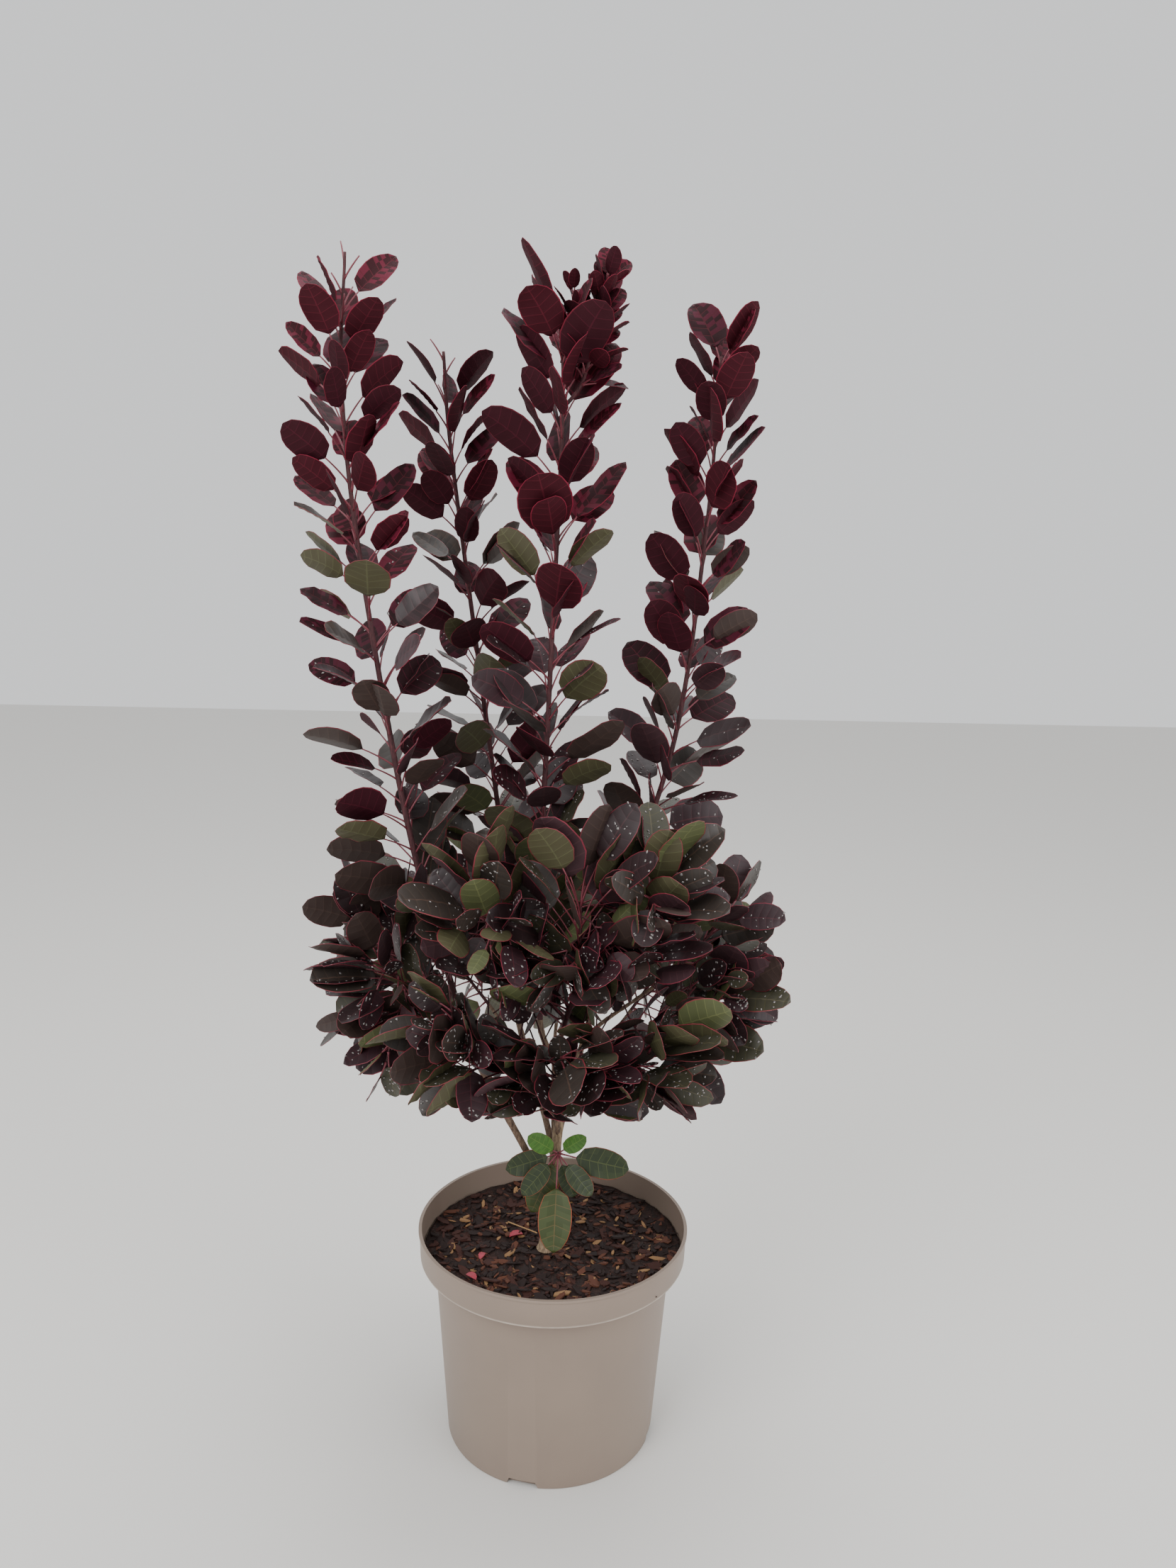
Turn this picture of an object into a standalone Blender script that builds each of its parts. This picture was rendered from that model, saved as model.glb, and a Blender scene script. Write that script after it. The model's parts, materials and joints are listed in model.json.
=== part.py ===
"""Royal purple smoke bush, about 1.24 m tall, growing in a 12 litre nursery pot.

Metres, +Z up, +X to the right of the front view, +Y to the back. The origin is the middle
of the pot's underside, where it meets the surface it stands on.
"""
import math
import random
from collections import namedtuple

import bmesh
import bpy
import numpy as np

OBJECT_NAME = "smoke_bush"
SEED = "smoke bush"
SEAT = 0.0003

# Pot, a moulded container of revolution with a stepped collar
POT_HEIGHT = 0.2366
POT_FOOT_RADIUS = 0.1134
POT_TAPER = 0.0716
POT_WALL = 0.0024
POT_FLOOR = 0.0045
COLLAR_DEPTH = 0.0307
COLLAR_FOOT_RADIUS = 0.1436
COLLAR_TOP_RADIUS = 0.1446
LIP_RADIUS = 0.1457
LIP_DEPTH = 0.0026
FOOT_ROUND = 0.0015
POT_STEPS = 40
NOTCH_COUNT = 4
NOTCH_FIRST_AZIMUTH = -104.0
NOTCH_HEIGHT = 0.0075
NOTCH_FOOT_WIDTH = 0.036
NOTCH_TOP_WIDTH = 0.028
NOTCH_LENGTH = 0.014

# Bark compost that fills the pot
SOIL_EDGE_HEIGHT = 0.2115
SOIL_MIDDLE_HEIGHT = 0.2040
SOIL_EDGE_GAP = 0.0016

# Trunk
TRUNK_FOOT = (-0.008, 0.000, 0.2043)
TRUNK_TOP = (0.006, 0.001, 0.380)
TRUNK_FOOT_RADIUS = 0.0073
TRUNK_TOP_RADIUS = 0.0046
FLARE_RADIUS = 0.0100
FLARE_HEIGHT = 0.012
TRUNK_STATIONS = 9

# Limbs and leaves
LIMB_STATIONS = 5
LIMB_RESOLUTION = 1
LIMB_STUB = 0.003
STEM_STEP = 0.045
AXIS_STEP = 0.010
GOLDEN_ANGLE = 137.5
PETIOLE_RADIUS = 0.0009
KEEL_DEPTH = 0.012
SMALL_BLADE = 0.036
SLIVERS = (0.00004, 0.00003, 0.00002, 0.00001, 0.000005, 0.0)
SPINE_STEPS = 24
CELL_GAP = 0.004
LIMB_GAP = 0.004
LEAF_GAP = 0.11
SKIRT_HEIGHT = 0.352
SKIRT_SLOPE = 0.47
TURNS = ((0, 1.0), (24, 0.9), (-24, 0.9), (48, 0.8), (-48, 0.8), (0, 0.6), (76, 0.8), (-76, 0.8),
         (104, 0.9), (-104, 0.9), (132, 1.0), (-132, 1.0), (60, 0.5), (-60, 0.5), (120, 0.55), (-120, 0.55))

# A stem is a smooth path with leaves in a golden-angle spiral. The pairs are values at its foot
# and at its tip: the path's radius, the lengths of blade and petiole, and the angle in degrees
# between a petiole and the stem. Leaves start at the fraction first, and the last few of them,
# stubs, have lost their blades.
Stem = namedtuple("Stem", "path radius leaves first stubs blade petiole lean phase")

# A shoot is a mass of leaves: its main stem, then any side twigs. Its bough grows from the limb
# named parent, at the fraction fork of that limb, and ends where the main stem starts.
Shoot = namedtuple("Shoot", "name parent fork bough_radius stems")

SHOOTS = (
    Shoot("tall_left", "trunk", 0.42, 0.0040, (
        Stem(((-0.100, -0.020, 0.480), (-0.150, -0.030, 0.675), (-0.195, -0.030, 0.936),
              (-0.211, -0.032, 1.100), (-0.206, -0.032, 1.219)),
             (0.0034, 0.0012), 56, 0.03, 5, (0.060, 0.048), (0.036, 0.027), (68, 36), 200),)),
    Shoot("tall_back_left", "trunk", 0.66, 0.0036, (
        Stem(((-0.052, 0.062, 0.500), (-0.064, 0.083, 0.640), (-0.090, 0.088, 0.830),
              (-0.121, 0.086, 1.060), (-0.128, 0.084, 1.152)),
             (0.0031, 0.0016), 47, 0.04, 4, (0.060, 0.047), (0.034, 0.025), (66, 38), 70),)),
    Shoot("tall_centre", "trunk", 1.0, 0.0036, (
        Stem(((-0.018, 0.000, 0.470), (-0.020, -0.008, 0.602), (-0.014, -0.012, 0.800),
              (-0.005, -0.012, 1.080), (-0.009, -0.012, 1.170)),
             (0.0033, 0.0014), 46, 0.06, 2, (0.058, 0.064), (0.034, 0.030), (66, 36), 160),
        Stem(((-0.005, -0.012, 1.088), (0.013, -0.014, 1.112), (0.024, -0.016, 1.155),
              (0.034, -0.018, 1.203)),
             (0.0019, 0.0009), 18, 0.22, 0, (0.034, 0.025), (0.014, 0.008), (58, 30), 40),
        Stem(((-0.007, -0.012, 1.130), (0.000, -0.006, 1.160), (0.004, -0.004, 1.192)),
             (0.0013, 0.0008), 7, 0.30, 0, (0.026, 0.019), (0.014, 0.008), (62, 34), 250),)),
    Shoot("tall_right", "trunk", 0.76, 0.0036, (
        Stem(((0.045, 0.030, 0.500), (0.068, 0.040, 0.592), (0.119, 0.045, 0.770),
              (0.143, 0.045, 0.985), (0.151, 0.045, 1.148)),
             (0.0032, 0.0012), 49, 0.03, 0, (0.062, 0.050), (0.036, 0.022), (66, 34), 95),)),
    Shoot("front", "trunk", 0.90, 0.0030, (
        Stem(((0.006, -0.082, 0.490), (0.016, -0.098, 0.535), (0.021, -0.103, 0.590),
              (0.021, -0.103, 0.626)),
             (0.0024, 0.0012), 20, 0.04, 0, (0.070, 0.064), (0.046, 0.046), (100, 26), 10),
        Stem(((0.010, -0.088, 0.504), (-0.034, -0.100, 0.554), (-0.062, -0.104, 0.600),
              (-0.074, -0.104, 0.642)),
             (0.0018, 0.0010), 18, 0.30, 0, (0.066, 0.060), (0.038, 0.034), (96, 34), 120),
        Stem(((0.014, -0.094, 0.522), (0.056, -0.096, 0.568), (0.080, -0.097, 0.606),
              (0.090, -0.097, 0.640)),
             (0.0017, 0.0010), 16, 0.32, 0, (0.064, 0.058), (0.036, 0.032), (96, 36), 200),)),
    Shoot("low_left", "bough_tall_left", 0.55, 0.0024, (
        Stem(((-0.120, 0.022, 0.468), (-0.158, 0.030, 0.510), (-0.198, 0.030, 0.560)),
             (0.0019, 0.0010), 20, 0.05, 0, (0.062, 0.054), (0.032, 0.028), (96, 36), 0),)),
    Shoot("mid_left", "bough_tall_left", 0.42, 0.0024, (
        Stem(((-0.104, -0.046, 0.475), (-0.140, -0.058, 0.512), (-0.172, -0.064, 0.548)),
             (0.0018, 0.0010), 17, 0.04, 0, (0.064, 0.056), (0.032, 0.028), (98, 38), 40),)),
    Shoot("low_front", "trunk", 0.80, 0.0026, (
        Stem(((0.002, -0.052, 0.418), (0.004, -0.088, 0.440), (0.005, -0.116, 0.460),
              (0.005, -0.136, 0.486)),
             (0.0022, 0.0011), 18, 0.16, 0, (0.068, 0.062), (0.034, 0.032), (96, 60), 340),
        Stem(((0.003, -0.070, 0.429), (-0.044, -0.096, 0.452), (-0.078, -0.110, 0.474),
              (-0.100, -0.116, 0.508)),
             (0.0018, 0.0010), 19, 0.24, 0, (0.068, 0.060), (0.032, 0.030), (98, 48), 300),
        Stem(((0.004, -0.080, 0.435), (0.044, -0.096, 0.448), (0.074, -0.108, 0.468),
              (0.092, -0.114, 0.500)),
             (0.0018, 0.0010), 18, 0.26, 0, (0.066, 0.060), (0.034, 0.030), (98, 52), 60),)),
    Shoot("low_right", "bough_tall_right", 0.30, 0.0024, (
        Stem(((0.096, -0.044, 0.464), (0.126, -0.056, 0.492), (0.152, -0.058, 0.520)),
             (0.0018, 0.0010), 18, 0.04, 0, (0.062, 0.056), (0.032, 0.030), (98, 44), 210),)),
    Shoot("mid_right", "bough_tall_right", 0.60, 0.0024, (
        Stem(((0.104, 0.010, 0.506), (0.138, 0.004, 0.540), (0.170, 0.000, 0.582)),
             (0.0018, 0.0010), 17, 0.04, 0, (0.060, 0.052), (0.032, 0.026), (94, 36), 150),)),
    Shoot("low_back_left", "bough_tall_back_left", 0.45, 0.0024, (
        Stem(((-0.078, 0.092, 0.450), (-0.112, 0.118, 0.485), (-0.138, 0.132, 0.530)),
             (0.0018, 0.0010), 18, 0.04, 0, (0.064, 0.056), (0.034, 0.030), (98, 40), 30),)),
    Shoot("low_back", "trunk", 0.56, 0.0026, (
        Stem(((0.000, 0.085, 0.440), (0.006, 0.122, 0.480), (0.012, 0.142, 0.535)),
             (0.0018, 0.0010), 18, 0.04, 0, (0.064, 0.056), (0.034, 0.030), (98, 40), 80),)),
    Shoot("low_back_right", "bough_tall_right", 0.42, 0.0024, (
        Stem(((0.082, 0.078, 0.450), (0.114, 0.102, 0.490), (0.136, 0.114, 0.542)),
             (0.0018, 0.0010), 18, 0.04, 0, (0.064, 0.056), (0.034, 0.030), (98, 40), 270),)),
)

# Young green shoot low on the trunk. Each leaf has the direction it points in, seen from the
# front and counted from the right, how far it leans to the viewer, and its petiole and blade.
SPROUT_FOOT = 0.72
SPROUT_REACH = (0.003, -0.016, 0.006)
SPROUT_RADIUS = (0.0016, 0.0013)
SPROUT_LEAVES = (
    (268, 28, 0.036, 0.064), (222, 30, 0.016, 0.041), (318, 30, 0.016, 0.040),
    (138, 24, 0.008, 0.037), (42, 20, 0.008, 0.032), (196, 8, 0.010, 0.046),
    (352, 10, 0.018, 0.057), (246, 12, 0.010, 0.056), (292, 14, 0.010, 0.036),
)

Leaf = namedtuple("Leaf", "root along away petiole blade width lean bend roll")


def unit(vector):
    return vector / np.linalg.norm(vector)


def blend(pair, fraction):
    return pair[0] + (pair[1] - pair[0]) * fraction


def smooth_path(controls, step):
    """Points at even distances along a smooth curve through the controls."""
    knots = np.array(controls)
    ends = np.vstack([2 * knots[0] - knots[1], knots, 2 * knots[-1] - knots[-2]])
    fine = []
    for a, b, c, d in zip(ends, ends[1:], ends[2:], ends[3:]):
        for t in np.linspace(0, 1, 24, endpoint=False):
            fine.append(0.5 * (2 * b + (c - a) * t + (2 * a - 5 * b + 4 * c - d) * t ** 2
                               + (3 * b - a - 3 * c + d) * t ** 3))
    fine = np.array(fine + [knots[-1]])
    run = np.concatenate([[0], np.cumsum(np.linalg.norm(np.diff(fine, axis=0), axis=1))])
    places = np.linspace(0, run[-1], max(2, round(run[-1] / step) + 1))
    return np.column_stack([np.interp(places, run, fine[:, k]) for k in range(3)])


def arched_path(start, out, end, arrive, count):
    """A limb that leaves start along out and comes in to end along arrive, straight at both ends."""
    reach = np.linalg.norm(end - start) / 3
    a, d = start + out * LIMB_STUB, end - arrive * LIMB_STUB
    b, c = a + out * reach, d - arrive * reach
    t = np.linspace(0, 1, count)[:, None]
    arch = (1 - t) ** 3 * a + 3 * t * (1 - t) ** 2 * b + 3 * t ** 2 * (1 - t) * c + t ** 3 * d
    return np.vstack([start, arch, end])


def squared_start(fine, coarse):
    """The coarse path, with its first stretch straight along the fine path's own start."""
    return np.vstack([coarse[0], coarse[0] + unit(fine[1] - fine[0]) * LIMB_STUB, coarse[1:]])


def point_on(path, fraction):
    """The point at a fraction of the path's length, and the direction there."""
    place = fraction * (len(path) - 1)
    index = min(int(place), len(path) - 2)
    point = path[index] + (path[index + 1] - path[index]) * (place - index)
    return point, unit(path[index + 1] - path[index])


def away_from(along, azimuth):
    """A direction square to along, at an azimuth counted from the front view's side."""
    front = np.array([0.0, -1.0, 0.0])
    first = unit(front - along * front.dot(along))
    second = np.cross(along, first)
    return first * math.cos(azimuth) + second * math.sin(azimuth)


def spine_of(leaf):
    """Points from the petiole's root to the blade's tip, with the side and the upper normal."""
    side = np.cross(leaf.along, leaf.away)
    places, frames = [leaf.root], []
    length = leaf.petiole + leaf.blade
    for index in range(SPINE_STEPS + 1):
        run = index / SPINE_STEPS * length
        on_blade = max(0.0, run - leaf.petiole) / leaf.blade
        angle = leaf.lean - 0.22 * max(0.0, 1 - run / leaf.petiole) + leaf.bend * on_blade
        ahead = math.cos(angle) * leaf.along + math.sin(angle) * leaf.away
        upper = math.sin(angle) * leaf.along - math.cos(angle) * leaf.away
        roll = leaf.roll * min(1.0, run / leaf.petiole)
        across = side * math.cos(roll) + upper * math.sin(roll)
        frames.append((across, np.cross(ahead, across)))
        if index < SPINE_STEPS:
            places.append(places[-1] + ahead * length / SPINE_STEPS)
    return np.array(places), frames


def leaf_place(leaf, places, frames, on_blade):
    """The spine's point and frame at a fraction of the blade, below 0 on the petiole."""
    run = leaf.petiole + on_blade * leaf.blade
    place = min(1.0, max(0.0, run / (leaf.petiole + leaf.blade))) * SPINE_STEPS
    index = min(int(place), SPINE_STEPS - 1)
    point = places[index] + (places[index + 1] - places[index]) * (place - index)
    across, normal = frames[min(round(place), SPINE_STEPS)]
    return point, across, normal


def drawn_leaf(rng, stem, path, index):
    """The leaf at one node of a stem, before it is fitted into the shoot's own space."""
    share = index / max(1, stem.leaves - 1)
    root, along = point_on(path, stem.first + (0.985 - stem.first) * share)
    azimuth = stem.phase + GOLDEN_ANGLE * index + rng.uniform(-13, 13)
    lean = blend(stem.lean, share) + rng.uniform(-8, 8)
    size = rng.uniform(0.84, 1.16)
    return (azimuth, lean, root, along, Leaf(
        root, along, None, blend(stem.petiole, share) * rng.uniform(0.85, 1.2),
        blend(stem.blade, share) * size, blend(stem.blade, share) * size * rng.uniform(0.62, 0.84),
        None, math.radians(rng.uniform(-4, 22)),
        math.radians(rng.choice((-1, 1)) * rng.uniform(10, 62))))


def blade_points(leaf):
    """Points along the middle and both edges of a blade."""
    places, frames = spine_of(leaf)
    points = []
    for station, half in ((0.0, 0.05), (0.2, 0.36), (0.4, 0.5), (0.6, 0.5), (0.8, 0.38), (1.0, 0.0)):
        point, across, _ = leaf_place(leaf, places, frames, station)
        points += [point, point + across * half * leaf.width, point - across * half * leaf.width]
    return np.array(points)


def distances(points, targets):
    return np.linalg.norm(points[:, None] - targets[None], axis=2)


def keeps_clear(points, own, others, limbs, limb_radii):
    """Whether a blade stays in the space nearest its own stem, off the limbs and above the skirt."""
    skirt = SKIRT_HEIGHT + SKIRT_SLOPE * np.maximum(0, -points[:, 1])
    if (points[:, 2] < skirt).any():
        return False
    if (distances(points, own).min(axis=1) + CELL_GAP > distances(points, others).min(axis=1)).any():
        return False
    return (distances(points, limbs) - limb_radii).min() > LIMB_GAP


def fitted_leaves(shoot_name, stem, stem_index, own, others, limbs, limb_radii, placed):
    """The leaves of one stem, each turned or raised until it fits, or skipped."""
    rng = random.Random(f"{SEED} {shoot_name} {stem_index}")
    path = smooth_path(stem.path, AXIS_STEP)
    leaves = []
    for index in range(stem.leaves):
        azimuth, lean, root, along, draft = drawn_leaf(rng, stem, path, index)
        stub = index >= stem.leaves - stem.stubs
        for turn, raised in TURNS:
            leaf = draft._replace(away=away_from(along, math.radians(azimuth + turn)),
                                  lean=math.radians(lean * raised))
            points = blade_points(leaf)
            apart = not placed or distances(points, np.vstack(placed)).min() > LEAF_GAP * leaf.blade
            if stub or (apart and keeps_clear(points, own, others, limbs, limb_radii)):
                leaves.append((leaf, stub))
                if not stub:
                    placed.append(points)
                break
    return leaves


def sprout_leaves(root):
    """The young shoot's leaves, fanned round its bud as the table says."""
    leaves = []
    for index, (heading, to_viewer, petiole, blade) in enumerate(SPROUT_LEAVES):
        turn, tip_out = math.radians(heading), math.radians(to_viewer)
        ahead = np.array([math.cos(turn) * math.cos(tip_out), -math.sin(tip_out),
                          math.sin(turn) * math.cos(tip_out)])
        upper = unit(np.array([0.0, -1.0, 0.35]) - ahead * np.dot((0.0, -1.0, 0.35), ahead))
        start = root + ahead * 0.0004 * index
        leaves.append((Leaf(start, upper, ahead, petiole, blade, blade * 0.62,
                            math.radians(90), math.radians(6), 0.0), False))
    return leaves


def stem_radii(pair, count):
    """A shoot stays thick for most of its length and thins quickly near its tip."""
    return [pair[1] + (pair[0] - pair[1]) * (1 - index / (count - 1)) ** 0.6 for index in range(count)]


def own_material(obj, color, roughness):
    material = bpy.data.materials.new(obj.name)
    material.use_nodes = True
    shader = material.node_tree.nodes["Principled BSDF"]
    shader.inputs["Base Color"].default_value = (*color, 1)
    shader.inputs["Roughness"].default_value = roughness
    shader.inputs["Metallic"].default_value = 0.0
    obj.data.materials.clear()
    obj.data.materials.append(material)


def add_object(name, mesh, collection):
    obj = bpy.data.objects.new(name, mesh)
    collection.objects.link(obj)
    return obj


def limb(name, points, radii, collection, resolution=LIMB_RESOLUTION):
    """A tapering round limb: a curve with a bevel, made into a mesh with welded caps."""
    curve = bpy.data.curves.new(name, "CURVE")
    curve.dimensions = "3D"
    curve.bevel_depth = 1.0
    curve.bevel_resolution = resolution
    curve.use_fill_caps = True
    spline = curve.splines.new("POLY")
    spline.points.add(len(points) - 1)
    for node, point, radius in zip(spline.points, points, radii):
        node.co = (*point, 1)
        node.radius = radius
    drawn = add_object(name, curve, collection)
    graph = bpy.context.evaluated_depsgraph_get()
    mesh = bpy.data.meshes.new_from_object(drawn.evaluated_get(graph))
    bpy.data.objects.remove(drawn)
    welded(mesh)
    return add_object(name, mesh, collection)


def welded(mesh):
    shape = bmesh.new()
    shape.from_mesh(mesh)
    bmesh.ops.remove_doubles(shape, verts=shape.verts, dist=0.00001)
    bmesh.ops.recalc_face_normals(shape, faces=shape.faces)
    shape.to_mesh(mesh)
    shape.free()


def loft(name, sections, tip, collection):
    """A closed skin over three-cornered sections, from a flat end to a flat end or a tip."""
    shape = bmesh.new()
    rings = [[shape.verts.new(corner) for corner in section] for section in sections]
    skew = []
    for low, high in zip(rings, rings[1:]):
        band = [shape.faces.new((low[a], low[b], high[b], high[a])) for a, b in ((0, 1), (1, 2), (2, 0))]
        skew += band if low is not rings[0] else []
    shape.faces.new(reversed(rings[0]))
    if tip is None:
        shape.faces.new(rings[-1])
    else:
        point = shape.verts.new(tip)
        for a, b in ((0, 1), (1, 2), (2, 0)):
            shape.faces.new((rings[-1][a], rings[-1][b], point))
    bmesh.ops.recalc_face_normals(shape, faces=shape.faces)
    bmesh.ops.triangulate(shape, faces=skew)
    mesh = bpy.data.meshes.new(name)
    shape.to_mesh(mesh)
    shape.free()
    return add_object(name, mesh, collection)


def leaf_piece(leaf, stub, collection):
    """A straight petiole of three sides that opens into a thin blade with a keel for its midrib."""
    places, frames = spine_of(leaf)
    keel = KEEL_DEPTH * leaf.blade
    if stub:
        stations = ((-0.1 * leaf.petiole / leaf.blade, PETIOLE_RADIUS, PETIOLE_RADIUS),)
    elif leaf.blade < SMALL_BLADE:
        stations = ((0.0, PETIOLE_RADIUS, PETIOLE_RADIUS), (0.46, 0.47 * leaf.width, keel))
    else:
        stations = ((0.0, PETIOLE_RADIUS, PETIOLE_RADIUS), (0.28, 0.43 * leaf.width, keel),
                    (0.72, 0.45 * leaf.width, keel))
    sections = []
    for station, half, depth in stations:
        point, across, normal = leaf_place(leaf, places, frames, station)
        lift = normal * depth * 0.4
        sections.append(np.array((point + across * half + lift, point - across * half + lift,
                                  point - normal * depth)))
    back_to_root = leaf.root - leaf_place(leaf, places, frames, stations[0][0])[0]
    sections.insert(0, sections[0] + back_to_root)
    tip = None if stub else leaf_place(leaf, places, frames, 1.0)[0]
    return loft("leaf", sections, tip, collection)


def fuse(stem, pieces):
    """One union of the stem with all its leaves and twigs, kept as a single closed body."""
    union = stem.modifiers.new("Union", "BOOLEAN")
    union.operation = "UNION"
    union.solver = "MANIFOLD"
    union.operand_type = "COLLECTION"
    union.collection = pieces
    graph = bpy.context.evaluated_depsgraph_get()
    mesh = bpy.data.meshes.new_from_object(stem.evaluated_get(graph))
    stem.modifiers.clear()
    stem.data = mesh
    for piece in list(pieces.objects):
        bpy.data.objects.remove(piece)
    bpy.data.collections.remove(pieces)
    keep_main_body(mesh)


def cleaned(mesh, sliver):
    """The mesh in triangles, without slivers, and whether its skin is still closed."""
    shape = bmesh.new()
    shape.from_mesh(mesh)
    bmesh.ops.triangulate(shape, faces=shape.faces)
    bmesh.ops.dissolve_degenerate(shape, edges=shape.edges, dist=sliver)
    bmesh.ops.triangulate(shape, faces=shape.faces)
    return shape, all(len(edge.link_faces) == 2 for edge in shape.edges)


def keep_main_body(mesh):
    """Drop the skins of sealed hollows and any loose scrap, so that one outer skin is left."""
    for sliver in SLIVERS:
        shape, closed = cleaned(mesh, sliver)
        if closed:
            break
        shape.free()
    unseen, bodies = set(shape.verts), []
    while unseen:
        body, front = set(), [unseen.pop()]
        while front:
            vert = front.pop()
            body.add(vert)
            for edge in vert.link_edges:
                other = edge.other_vert(vert)
                if other in unseen:
                    unseen.remove(other)
                    front.append(other)
        bodies.append(body)
    bodies.sort(key=len)
    for body in bodies[:-1]:
        bmesh.ops.delete(shape, geom=list(body), context="VERTS")
    shape.to_mesh(mesh)
    shape.free()


def cut(obj, cutter):
    """A cut that stays on the object as a modifier."""
    difference = obj.modifiers.new("Cut", "BOOLEAN")
    difference.operation = "DIFFERENCE"
    difference.solver = "EXACT"
    difference.object = cutter


def turned(name, profile, steps, collection):
    """A solid of revolution about Z from a profile that runs down its outer side."""
    mesh = bpy.data.meshes.new(name)
    edges = [(index, index + 1) for index in range(len(profile) - 1)]
    mesh.from_pydata([(radius, 0, height) for radius, height in profile], edges, [])
    obj = add_object(name, mesh, collection)
    screw = obj.modifiers.new("Turn", "SCREW")
    screw.steps = steps
    screw.render_steps = steps
    screw.use_merge_vertices = True
    screw.merge_threshold = 0.00001
    return obj


def pot_radius(height):
    return POT_FOOT_RADIUS + POT_TAPER * height


def make_pot(parts, cutters):
    """Taupe pot: flat underside, tapered body, stepped collar with a bead, four drain notches."""
    collar_foot = POT_HEIGHT - COLLAR_DEPTH
    inner = POT_WALL
    profile = (
        (0.0, POT_FLOOR), (pot_radius(POT_FLOOR) - inner, POT_FLOOR),
        (pot_radius(collar_foot) - inner, collar_foot + inner),
        (COLLAR_FOOT_RADIUS - inner, collar_foot + inner),
        (COLLAR_TOP_RADIUS - inner, POT_HEIGHT), (LIP_RADIUS, POT_HEIGHT),
        (LIP_RADIUS, POT_HEIGHT - LIP_DEPTH), (COLLAR_TOP_RADIUS, POT_HEIGHT - LIP_DEPTH * 1.3),
        (COLLAR_FOOT_RADIUS, collar_foot), (pot_radius(collar_foot) + 0.001, collar_foot),
        (pot_radius(collar_foot), collar_foot - 0.001), (pot_radius(FOOT_ROUND), FOOT_ROUND),
        (POT_FOOT_RADIUS - FOOT_ROUND, 0.0), (0.0, 0.0),
    )
    pot = turned("pot", profile, POT_STEPS, parts)
    own_material(pot, (0.296, 0.238, 0.202), 0.5)
    for index in range(NOTCH_COUNT):
        turn = math.radians(NOTCH_FIRST_AZIMUTH + index * 360 / NOTCH_COUNT)
        notch = notch_cutter(f"notch_cutter_{index + 1}", cutters)
        notch.location = (POT_FOOT_RADIUS * math.cos(turn), POT_FOOT_RADIUS * math.sin(turn), 0)
        notch.rotation_euler = (0, 0, turn)
        cut(pot, notch)
    return pot


def notch_cutter(name, cutters):
    """A wedge with sloping ends, wider at the foot, that reaches through the wall's foot."""
    bpy.ops.mesh.primitive_cube_add(size=2)
    notch = bpy.context.object
    notch.name = name
    for owner in list(notch.users_collection):
        owner.objects.unlink(notch)
    cutters.objects.link(notch)
    for vert in notch.data.vertices:
        top = vert.co.z > 0
        half_width = (NOTCH_TOP_WIDTH if top else NOTCH_FOOT_WIDTH) / 2
        vert.co = (vert.co.x * NOTCH_LENGTH / 2, vert.co.y * half_width, NOTCH_HEIGHT if top else -0.002)
    notch.hide_render = True
    notch.display_type = "WIRE"
    return notch


def make_soil(parts):
    """The compost: a plug that fills the body and spreads over the collar's inner ledge."""
    collar_foot = POT_HEIGHT - COLLAR_DEPTH
    ledge = collar_foot + POT_WALL + SEAT
    wall = POT_WALL + SEAT
    bottom = POT_FLOOR + SEAT
    edge = COLLAR_FOOT_RADIUS - POT_WALL - SOIL_EDGE_GAP
    profile = (
        (0.0, SOIL_MIDDLE_HEIGHT), (edge * 0.35, SOIL_MIDDLE_HEIGHT),
        (edge * 0.75, (SOIL_MIDDLE_HEIGHT + SOIL_EDGE_HEIGHT) / 2), (edge, SOIL_EDGE_HEIGHT),
        (edge, ledge), (pot_radius(collar_foot) - wall, ledge), (pot_radius(POT_FLOOR) - wall, bottom), (0.0, bottom),
    )
    soil = turned("soil", profile, POT_STEPS, parts)
    own_material(soil, (0.035, 0.014, 0.008), 0.9)
    return soil


def make_trunk(parts):
    """The trunk: cut flat at soil level, flared at its root, leaning a little to the right."""
    foot, top = np.array(TRUNK_FOOT), np.array(TRUNK_TOP)
    heights = [0, FLARE_HEIGHT * 0.4, FLARE_HEIGHT]
    rest = np.linspace(FLARE_HEIGHT, np.linalg.norm(top - foot), TRUNK_STATIONS - 2)[1:]
    runs = np.array(heights + list(rest))
    points = foot + np.outer(runs, unit(top - foot))
    radii = TRUNK_FOOT_RADIUS + (TRUNK_TOP_RADIUS - TRUNK_FOOT_RADIUS) * runs / runs[-1]
    radii[0], radii[1] = FLARE_RADIUS, TRUNK_FOOT_RADIUS * 1.1
    points[:, 2] = np.maximum(points[:, 2], foot[2])
    return points, radii


def square_foot(obj, height):
    """Lay the lowest ring of a limb level at a height."""
    lowest = min(vert.co.z for vert in obj.data.vertices)
    for vert in obj.data.vertices:
        if vert.co.z < lowest + FLARE_HEIGHT * 0.3:
            vert.co.z = height


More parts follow.
